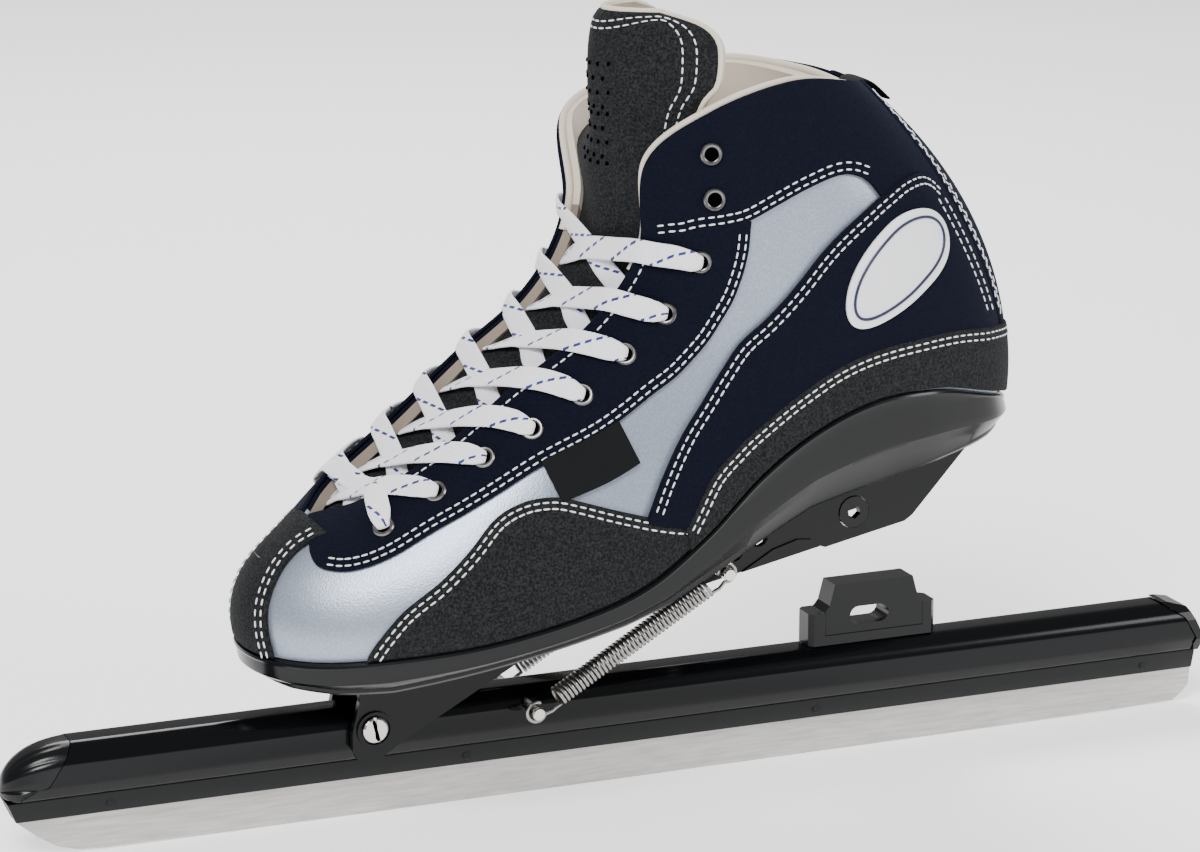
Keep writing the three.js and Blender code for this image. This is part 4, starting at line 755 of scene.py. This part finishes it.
def build_tongue():
    outer, inner = tongue_grid(0.0), tongue_grid(TONGUE_THICKNESS)
    edge = np.zeros(outer.shape[:2])
    edge[:, 0] = edge[:, -1] = edge[-1] = 1.3
    edge[:-1, 1] = edge[:-1, -2] = 0.35
    edge[-2, 1:-1] = 0.35
    outward = unit(outer - inner)
    face = outer - outward * edge[..., None]
    back = inner + outward * edge[..., None] * 0.7
    middle = outer - outward * 1.6
    cover = slab("tongue_cover", face, middle, NUBUCK)
    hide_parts("tongue")
    pad = slab("tongue_lining", middle - outward * 0.05, back, BEIGE)
    rim = np.concatenate([middle[BOUND:, 0], middle[-1, 1:-1], middle[BOUND:, -1][::-1]])
    vertices, faces = tube(opened(rim), 0.95, 10)
    binding = new_object("tongue_binding", vertices, faces, BEIGE)
    for down, inset in ((3, 3), (4, 5)):
        line, line_out = (np.concatenate([grid[STITCHED:-down, inset], grid[-down, inset:-inset],
                                          grid[STITCHED:-down, -inset][::-1]]) for grid in (outer, outward))
        steps = lengths_along(line)
        even = np.arange(1, steps[-1], STITCH_PITCH)
        at = resampled(line, steps, even)
        out = unit(resampled(line_out, steps, even))
        for p, n, a in zip(at, out, unit(np.gradient(at, axis=0))):
            stitches.append((p, a, n, STITCH_LENGTH))
    # The perforations are small flat-black discs on the cover: painted shade standing in for open holes.
    hole_shades = []
    disc = turned_shape([(0, -0.3), (0.7, -0.3), (0.7, 0.2), (0.6, 0.26), (0, 0.26)], 12)
    for row in range(9):
        for column in range(4):
            j = 16 + column * 2 + row % 2
            i = 67 + row * 7 // 4
            hole_shades.append(stood_on(disc, outer[i, j], outward[i, j]))
    vertices, faces = gather(hole_shades)
    made = new_object("tongue_perforation_shade", opened(vertices), faces, PAINTED_HOLE_SHADE)


# ---- eyelets and laces

# Places [s, t] of the eyelets that are laced and of the free ones above them.
LACED = [(3.18, 0.765), (3.81, 0.81), (4.42, 0.82), (5.04, 0.80), (5.84, 0.80), (6.72, 0.80),
         (7.71, 0.75), (8.80, 0.69)]
FREE = [(9.45, 0.78), (9.72, 0.89)]


def build_eyelets():
    rim, bore = EYELET_RADIUS, EYELET_HOLE
    ring = turned_shape([(0, -0.2), (rim, -0.2), (rim, 0.35), (rim - 0.35, 0.75), (bore + 0.5, 0.8),
                         (bore + 0.1, 0.55), (bore, 0.2), (0, 0.2)], 36)
    # Each eyelet's bore is closed by a flat-black disc: painted shade in place of the open hole.
    hole_shade = turned_shape([(0, 0.1), (bore + 0.05, 0.1), (bore + 0.05, 0.28), (0, 0.28)], 24)
    rings, hole_shades = [], []
    for side in SIDES:
        for s, t in LACED + FREE:
            stand = TOP + (0.45 if (s, t) in FREE else 0.0)
            r = place(side, s)
            at, up = on_surface(r, t, stand), normal(r, t)
            rings.append(stood_on(ring, at, up))
            hole_shades.append(stood_on(hole_shade, at, up))
    vertices, faces = gather(rings)
    made = new_object("eyelets", opened(vertices), faces, GUNMETAL)
    vertices, faces = gather(hole_shades)
    made = new_object("eyelet_opening_shade", opened(vertices), faces, PAINTED_HOLE_SHADE)


def ribbon(points, facing, width, thickness):
    """A flat strap through points, with the way it faces, its width and its thickness at
    each. Returns vertices, faces and where each is along and across the strap."""
    count, sides = 64, 20
    p = smooth_path(points, count)
    lengths = lengths_along(points)
    shares = lengths / lengths[-1]
    even = np.linspace(0, 1, count)
    n = unit(resampled(facing, shares, even))
    along = unit(np.gradient(p, axis=0))
    w = unit(np.cross(n, along))
    n = np.cross(along, w)
    half = np.interp(even, shares, width) / 2
    thick = np.interp(even, shares, thickness) / 2
    a = np.linspace(0, 2 * math.pi, sides, endpoint=False)
    wide = np.sign(np.cos(a)) * np.abs(np.cos(a)) ** 0.55
    deep = np.sign(np.sin(a)) * np.abs(np.sin(a)) ** 0.8
    rings = (p[:, None] + w[:, None] * (half[:, None] * wide[None])[..., None]
             + n[:, None] * (thick[:, None] * deep[None])[..., None])
    faces = grid_faces(count, sides, 0, False, True) + end_faces(count, sides)
    uv = np.stack(np.broadcast_arrays((even * lengths[-1] * MM)[:, None], 0.5 + 0.5 * wide[None]), -1)
    return rings.reshape(-1, 3), faces, uv.reshape(-1, 2)


def lace_run(side, k):
    """One crossing: up from under the far edge of the throat, over the tongue and the near
    edge, and down into an eyelet of the near side. The first one is a bar between the two
    lowest eyelets."""
    far = "inner" if side == "outer" else "outer"
    s, t = LACED[k]
    lift = 0.9 if side == "outer" else -0.1
    below = LACED[k - 1][0] if k else s
    below_2 = LACED[k - 2][0] if k > 1 else below - 0.6 * (k > 0)
    start_s = below - 0.62 * (below - below_2)
    edge_s = below + 0.12 * (s - below)
    r, edge_r, far_r = place(side, s), place(side, edge_s), place(far, start_s)
    mid_s = 0.5 * (start_s + edge_s)
    middle, out = throat_point(mid_s, LACE_THICKNESS + lift)
    n_far, n_near, n_eye = normal(far_r, 1.0), normal(edge_r, 1.0), normal(r, t)
    over = on_surface(edge_r, 1.0, TOP + 1.0)
    under = on_surface(far_r, 0.985, -5.0 if k else 1.0)
    travel = unit(surface(r, t) - surface(edge_r, 1.0))
    between = [on_surface(edge_r + (r - edge_r) * f, 1 + (t - 1) * f, TOP + 0.9 + 0.7 * math.sin(math.pi * f))
               for f in (0.35, 0.68)]
    into = surface(r, t)
    points = [under, 0.4 * under + 0.6 * middle + out * 0.5, middle,
              0.4 * middle + 0.6 * over + out * 0.3, over, *between,
              into - travel * 2.4 + n_eye * (TOP + 1.5), into - travel * 0.5 + n_eye * (TOP + 0.7),
              into + travel * 0.1 + n_eye * (TOP - 1.4)]
    facing = [n_far, unit(n_far + out), out, unit(out + n_near), n_near, unit(n_near + n_eye), n_eye,
              unit(n_eye + 0.35 * travel), unit(n_eye + 1.3 * travel), travel]
    width = [LACE_WIDTH * w for w in (0.95, 1, 1, 1, 1, 1, 0.98, 0.84, 0.62, 0.5)]
    thick = [LACE_THICKNESS * w for w in (1, 1, 1, 1, 1, 1, 1, 1.3, 1.7, 1.9)]
    return ribbon(np.array(points), facing, width, thick)


def build_laces():
    vertices, faces, uvs, count = [], [], [], 0
    for side, k in [(side, k) for side in reversed(SIDES) for k in range(len(LACED))]:
        v, f, uv = lace_run(side, k)
        vertices.append(v)
        uvs.append(uv + (0.003 * k + (0.0071 if side == "inner" else 0), 0))
        faces += [[i + count for i in face] for face in f]
        count += len(v)
    laces = new_object("flat_laces", opened(np.concatenate(vertices)), faces, LACE, np.concatenate(uvs), 60)
    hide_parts("laces")


# ---- badge and label

def patch_grid(s, t, tilt, stand, outline, rings):
    """Points of a sewn patch on the outer side, ring by ring from its middle."""
    e = 0.01
    du = (surface(s + e, t) - surface(s - e, t)) / (2 * e)
    dv = (surface(s, t + e) - surface(s, t - e)) / (2 * e)
    det = du[0] * dv[2] - du[2] * dv[0]
    turn = math.radians(tilt)
    a, b = outline[:, 0], outline[:, 1]
    x, z = a * math.cos(turn) - b * math.sin(turn), a * math.sin(turn) + b * math.cos(turn)
    ds, dt = (x * dv[2] - z * dv[0]) / det, (z * du[0] - x * du[2]) / det
    return np.array([on_surface(s + ds * k, t + dt * k, stand) for k in rings])


def build_patch(name, cad_name, s, t, tilt, stand, thickness, outline, material):
    rings = (0.02, 0.25, 0.5, 0.75, 0.93, 1.0)
    top = patch_grid(s, t, tilt, stand + thickness, outline, rings)
    top[-1] = patch_grid(s, t, tilt, stand + thickness - 0.35, outline, (1.0,))[0]
    under = patch_grid(s, t, tilt, stand, outline, rings)[::-1]
    grid = np.concatenate([top, under])
    rows, columns = grid.shape[:2]
    faces = grid_faces(rows, columns, 0, False, True) + end_faces(rows, columns)
    patch = new_object(name, opened(grid.reshape(-1, 3)), faces, material, sharp=50)
    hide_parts(cad_name)


def oval(length, width):
    a = np.arange(64) / 64 * 2 * math.pi
    return np.stack([length / 2 * np.cos(a), width / 2 * np.sin(a)], 1)


def oblong(length, width):
    corners = np.array([(-1, -1), (1, -1), (1, 1), (-1, 1)]) * (length / 2, width / 2)
    return np.concatenate([np.linspace(corners[k - 1], corners[k], 10, endpoint=False) for k in (1, 2, 3, 0)])


def build_patches():
    s, t, tilt = 10.94, 0.405, 27
    build_patch("oval_badge", "badge", s, t, tilt, TOP + 0.8, 1.1, oval(46, 25), BADGE_WHITE)
    ring = patch_grid(s, t, tilt, TOP + 1.92, oval(40, 19), (1.0,))[0]
    vertices, faces = tube(opened(ring), 0.5, 8, True)
    made = new_object("badge_ring", vertices, faces, BADGE_NAVY)
    build_patch("woven_label", "side_label", 5.69, 0.572, 7, STAND + 0.1, 1.5,
                oblong(27, 13.5), LABEL)


# ---- sole

# Height [x, z] of the sole's underside, and x of its middle line at each rib.
SOLE_BOTTOM = [(-125, 57), (-116, 53.5), (-104, 50.4), (-88, 48.3), (-12, 48.3), (4, 49.7), (22, 53.4),
               (46, 58.8), (60, 61.6), (150, 61.6)]
SOLE_MIDDLE = [-108, -104, -98, -86, -60, -30, -5, 19, 42, 62, 80, 96, 108, 116]


def build_sole():
    r = np.linspace(0, ROUND, 321)[:-1]
    s = np.minimum(r, ROUND - r)
    rim = surface(r, 0)
    away = unit(np.cross(surface(r + 0.01, 0) - surface(r - 0.01, 0), (0, 0, 1)))
    bottom = np.interp(rim[:, 0], *np.array(SOLE_BOTTOM).T)
    top = rim[:, 2] - 0.25
    rise = top - bottom
    inset = 3 + np.maximum(0, rise - 12) * 0.2

    def at(out, z):
        point = rim + away * np.broadcast_to(out, r.shape)[:, None]
        point[:, 2] = z
        return point

    middle = np.interp(s, np.arange(HEEL + 1), SOLE_MIDDLE)
    centre = np.interp(s, np.arange(HEEL + 1), [rib[4] for rib in RIBS])
    under = np.interp(middle, *np.array(SOLE_BOTTOM).T)
    rows = [np.stack([middle, centre, under], 1)]
    rows += [at(-inset - 9, bottom + 0.05), at(-inset - 0.8, bottom), at(-inset + 0.6, bottom + 0.35),
             at(-inset + 1.5, bottom + 1.3), at(-inset + 1.7, bottom + 2.4)]
    for share in (0.32, 0.40, 0.445, 0.47, 0.55, 0.7, 0.82, 0.9):
        bulge = np.interp(share, [0.25, 0.45, 0.5, 1.0], [0.55, 1.0, 1.0, 1.0])
        out = -inset + (SOLE_OUT + inset) * bulge - 0.5 * max(0, share - 0.47)
        rows.append(at(out, bottom + rise * share))
    rows += [at(SOLE_OUT, top - 1.6), at(SOLE_OUT + 0.25, top - 0.9), at(SOLE_OUT - 0.1, top - 0.2),
             at(SOLE_OUT - 0.8, top), at(-4.8, top), at(-5.3, bottom + 6),
             np.stack([middle, centre, under + 6], 1)]
    grid = np.array(rows).transpose(1, 0, 2)
    faces = grid_faces(*grid.shape[:2], 0, True)
    sole = new_object("moulded_sole", opened(grid.reshape(-1, 3)), faces, BLACK_SHELL, sharp=26)
    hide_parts("sole_shell")


# ---- blade, bridge and springs

def bevelled(name, material, width, segments=3, angle=28):
    """Gives a CAD node its material and small rounded edges."""
    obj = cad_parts[name]
    obj.data.materials.clear()
    obj.data.materials.append(material)
    if width:
        mod = obj.modifiers.new("edges", "BEVEL")
        mod.width = width * MM
        mod.segments = segments
        mod.limit_method = "ANGLE"
        mod.angle_limit = math.radians(angle)
        mod.harden_normals = False


def section_loft(name, section, front, rear, material, body, cad_name, hollow=None):
    """A straight bar from its [y, z] section; front and rear give its end x at height z."""
    y, z = np.array(section).T
    rings = [np.stack([front(z), y, z], 1), np.stack([rear(z), y, z], 1)]
    if hollow is not None:
        hy, hz = np.array(hollow).T
        rings += [np.stack([rear(hz), hy, hz], 1), np.stack([front(hz), hy, hz], 1)]
    count = len(y)
    faces = grid_faces(len(rings), count, 0, hollow is not None, True)
    if hollow is None:
        faces += end_faces(2, count)
    made = new_object(name, np.concatenate(rings), faces, material, body=body, sharp=35)
    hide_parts(cad_name)


def rounded(corners, radius, steps=5):
    """A closed outline with each corner rounded."""
    out = []
    count = len(corners)
    for k in range(count):
        a, b, c = (np.array(corners[(k + d) % count], float) for d in (-1, 0, 1))
        reach = min(radius, 0.45 * np.linalg.norm(a - b), 0.45 * np.linalg.norm(c - b))
        p, q = b + unit(a - b) * reach, b + unit(c - b) * reach
        for f in np.linspace(0, 1, steps):
            out.append((1 - f) ** 2 * p + 2 * f * (1 - f) * b + f * f * q)
    return np.array(out)


def both_sides(half):
    """A whole section from its half on one side."""
    return half + [(-y, z) for y, z in reversed(half)]


def seam(points):
    """The x of an end face at a height, from its [x, z] points."""
    x, z = np.array(points, float).T
    order = np.argsort(z)
    return lambda height: np.interp(height, z[order], x[order])


TUBE_HALF = [(4.5, 37.5), (8.3, 34.5), (9.5, 32), (9.5, 25.6), (7, 21.1), (6.4, 20.6)]
TUBE_INSIDE = [(3.6, 35.7), (6.8, 33.8), (7.7, 31.5), (7.7, 26), (5.8, 22.6), (5.2, 22.2)]
HOLDER_HALF = [(6, 20.3), (4.2, 13.4), (0.8, 13.4), (0.8, 19.5)]


def build_front_cap(front):
    """The moulded cap that closes the tube's front end: it rounds off to a low blunt tip,
    with shallow ridges along it."""
    outline = rounded(both_sides(TUBE_HALF), 2.0, 6)
    seam_ring = np.stack([front(outline[:, 1]) - 0.3, outline[:, 0], outline[:, 1]], 1)
    tip = np.array((-207.6, 0, 23.0))
    lobes = np.abs(np.sin(np.arctan2(outline[:, 1] - 29, outline[:, 0]) * 6)) ** 0.5
    rings = []
    for turn in np.radians(np.linspace(0, 86, 16)):
        toward = seam_ring - tip
        groove = 1 - 0.045 * min(1.0, turn * 4) * (1 - lobes)
        toward[:, 0] *= 1 - math.sin(turn)
        toward[:, 1:] *= math.cos(turn) * groove[:, None]
        rings.append(tip + toward)
    rows, columns = len(rings), len(outline)
    faces = grid_faces(rows, columns, 0, False, True) + end_faces(rows, columns)
    cap = new_object("moulded_front_cap", np.concatenate(rings), faces, PLASTIC, body="blade", sharp=50)
    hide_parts("front_end_cap")


def build_blade():
    front = seam([(-184.3, 39.5), (-194.1, 25), (-202.2, 23.7), (-202.2, 19)])
    rear = seam([(190.2, 39.5), (199, 33.2), (203.4, 25.6), (202.9, 19)])
    section_loft("gloss_tube", rounded(both_sides(TUBE_HALF), 1.3), front, rear, GLOSS, "blade",
                 "blade_tube", rounded(both_sides(TUBE_INSIDE), 1.0))
    holder_front = seam([(-206.4, 20.3), (-203.4, 13.4)])
    holder_rear = seam([(205.3, 20.3), (205.3, 13.4)])
    section_loft("dark_holder", rounded(both_sides(HOLDER_HALF), 0.35, 3), holder_front, holder_rear,
                 MATTE, "blade", "blade_holder")
    bevelled("runner", STEEL, 0.08, 2)
    build_front_cap(front)
    bevelled("rear_end_cap", PLASTIC, 0.5, 3, 20)
    bevelled("landing_block", PLASTIC, 0.45, 3)
    bevelled("hinge_sleeve", BRIGHT, 0)
    for name in ("block_screw_1", "block_screw_2", "lower_spring_pin"):
        bevelled(name, BRIGHT, 0.2, 2)
    dome = turned_shape([(0, -10.6), (1.35, -10.4), (1.5, -10.2), (1.5, 0.2), (1.35, 0.4), (0, 0.6)], 24)
    for k in range(4):
        name = f"holder_rivet_{k + 1}"
        low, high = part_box(name)
        at = (0.5 * (low + high)) / MM
        vertices, faces = stood_on(dome, (at[0], -5.0, at[2]), (0, -1, 0))
        rivet = new_object(f"rivet_dome_{k + 1}", vertices, faces, MATTE, body="blade")
        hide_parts(name)


def build_bridge():
    bevelled("bridge", ANODISED, 0.35, 3)
    for name in ("hinge_axle", "upper_spring_pin", "hinge_screw_outer", "hinge_screw_inner"):
        bevelled(name, BRIGHT, 0.15, 2)
    for name in ("lock_bush_outer", "lock_bush_inner"):
        bevelled(name, PLASTIC, 0.2, 2)
    # The screw slots are thin flat-black slabs set into the heads: painted shade in place of cut slots.
    slot_shades = []
    for name, hand in (("hinge_screw_outer", -1), ("hinge_screw_inner", 1)):
        low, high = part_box(name)
        face = (low[1] if hand < 0 else high[1]) / MM + hand * 0.04
        corners = rounded([(-0.55, -3.5), (0.55, -3.5), (0.55, 3.5), (-0.55, 3.5)], 0.4, 3)
        shape = np.array([(x, y, z) for z in (0, -0.3) for x, y in corners])
        count = len(corners)
        sides = grid_faces(2, count, 0, False, True) + end_faces(2, count)
        slot_shades.append(stood_on((shape, sides), (HINGE[0], face, HINGE[1]), (0, hand, 0), (1, 0, 0.25)))
    vertices, faces = gather(slot_shades)
    made = new_object("screw_slot_shade", vertices, faces, PAINTED_HOLE_SHADE)
    for k in range(4):
        bevelled(f"mount_bolt_{k + 1}", BRIGHT, 0.3, 2)
        bevelled(f"sole_insert_{k + 1}", BRIGHT, 0.2, 2)
    bevelled("insole", FELT, 0.6, 2)


LOWER_PIN = (-39.1, 32.4)     # x and z
UPPER_PIN = (31.5, 45.4)      # x and z with the boot closed


def hook(at, from_angle, to_angle):
    """The round end of a spring about a pin at a length along it."""
    return [(at + SPRING_EYE * math.cos(a), 0.4 * math.sin(a * 0.5), SPRING_EYE * math.sin(a))
            for a in np.radians(np.linspace(from_angle, to_angle, 26))]


def build_springs():
    start = np.array((LOWER_PIN[0], 0, LOWER_PIN[1]))
    end = opened((UPPER_PIN[0], 0, UPPER_PIN[1]))
    axis = unit(end - start)
    length = np.linalg.norm(end - start)
    side = np.array((0, 1.0, 0))
    up = np.cross(axis, side)
    mean = SPRING_RADIUS - SPRING_WIRE
    first, last = SPRING_HOOK, length - SPRING_HOOK
    for name, y in (("outer", -SPRING_SIDE), ("inner", SPRING_SIDE)):
        local = hook(0, -30, -310) + [(4.6, 0, 3.0), (6.2, 0.2, 2.9)]
        for f in np.linspace(0, 1, SPRING_COILS * 16):
            a = f * SPRING_COILS * 2 * math.pi
            local.append((first + (last - first) * f, mean * math.sin(a), mean * math.cos(a)))
        local += [(length - 6.2, 0.2, 2.9), (length - 4.6, 0, 3.0)] + hook(length, 130, -150)
        local = np.array(local)
        path = start + local[:, :1] * axis + local[:, 1:2] * side + local[:, 2:] * -up
        path[:, 1] += y
        vertices, faces = tube(path, SPRING_WIRE, 8)
        mesh = bpy.data.meshes.new(f"tension_coil_{name}")
        mesh.from_pydata((vertices * MM).tolist(), [], faces)
        mesh.materials.append(WIRE)
        mesh.shade_smooth()
        coil = bpy.data.objects.new(f"tension_coil_{name}", mesh)
        bpy.context.scene.collection.objects.link(coil)
        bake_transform(coil)
        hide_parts(f"spring_{name}")


# ---- stage

def build_stage():
    mesh = bpy.data.meshes.new("floor")
    size = 6.0
    corners = [(-size, -size, 0), (size, -size, 0), (size, size, 0), (-size, size, 0)]
    mesh.from_pydata(corners, [], [(0, 1, 2, 3)])
    paint, _, base = shader("floor paint", (0.95, 0.95, 0.95), 0.9, specular=0.0)
    base.inputs["Emission Color"].default_value = (1, 1, 1, 1)
    base.inputs["Emission Strength"].default_value = 0.6
    mesh.materials.append(paint)
    floor = bpy.data.objects.new("floor", mesh)
    bpy.context.scene.collection.objects.link(floor)
    world = bpy.data.worlds.new("studio")
    world.use_nodes = True
    world.node_tree.nodes["Background"].inputs["Color"].default_value = (1, 1, 1, 1)
    world.node_tree.nodes["Background"].inputs["Strength"].default_value = 0.32
    bpy.context.scene.world = world
    target = Vector((0, 0, 0.12))
    lights = [("key", (-0.8, -1.0, 1.4), 0.8, 42), ("fill", (1.3, -1.1, 0.9), 0.8, 18),
              ("back", (0.2, 1.2, 1.5), 1.1, 34)]
    for name, at, size, power in lights:
        data = bpy.data.lights.new(name, "AREA")
        data.shape = "DISK"
        data.size = size
        data.energy = power
        lamp = bpy.data.objects.new(name, data)
        lamp.location = at
        lamp.rotation_euler = (target - Vector(at)).to_track_quat("-Z", "Y").to_euler()
        bpy.context.scene.collection.objects.link(lamp)


def build_camera():
    azimuth, elevation, distance = math.radians(-22.15), math.radians(14.58), 1.2664
    target = Vector((-0.0104, 0, 0.1183))
    back = Vector((math.sin(azimuth) * math.cos(elevation), -math.cos(azimuth) * math.cos(elevation),
                   math.sin(elevation)))
    data = bpy.data.cameras.new("camera")
    data.lens = 120.4
    data.sensor_width = 36
    camera = bpy.data.objects.new("camera", data)
    camera.location = target + back * distance
    camera.rotation_euler = (-back).to_track_quat("-Z", "Y").to_euler()
    bpy.context.scene.collection.objects.link(camera)
    bpy.context.scene.camera = camera


build_upper()
for hand in SIDES:
    build_panels(hand)
build_round_heel()
build_toe_stripe()
build_piping()
build_heel_tab()
build_tongue()
build_patches()
build_eyelets()
build_laces()
build_stitches()
build_sole()
build_blade()
build_bridge()
build_springs()
build_stage()
build_camera()
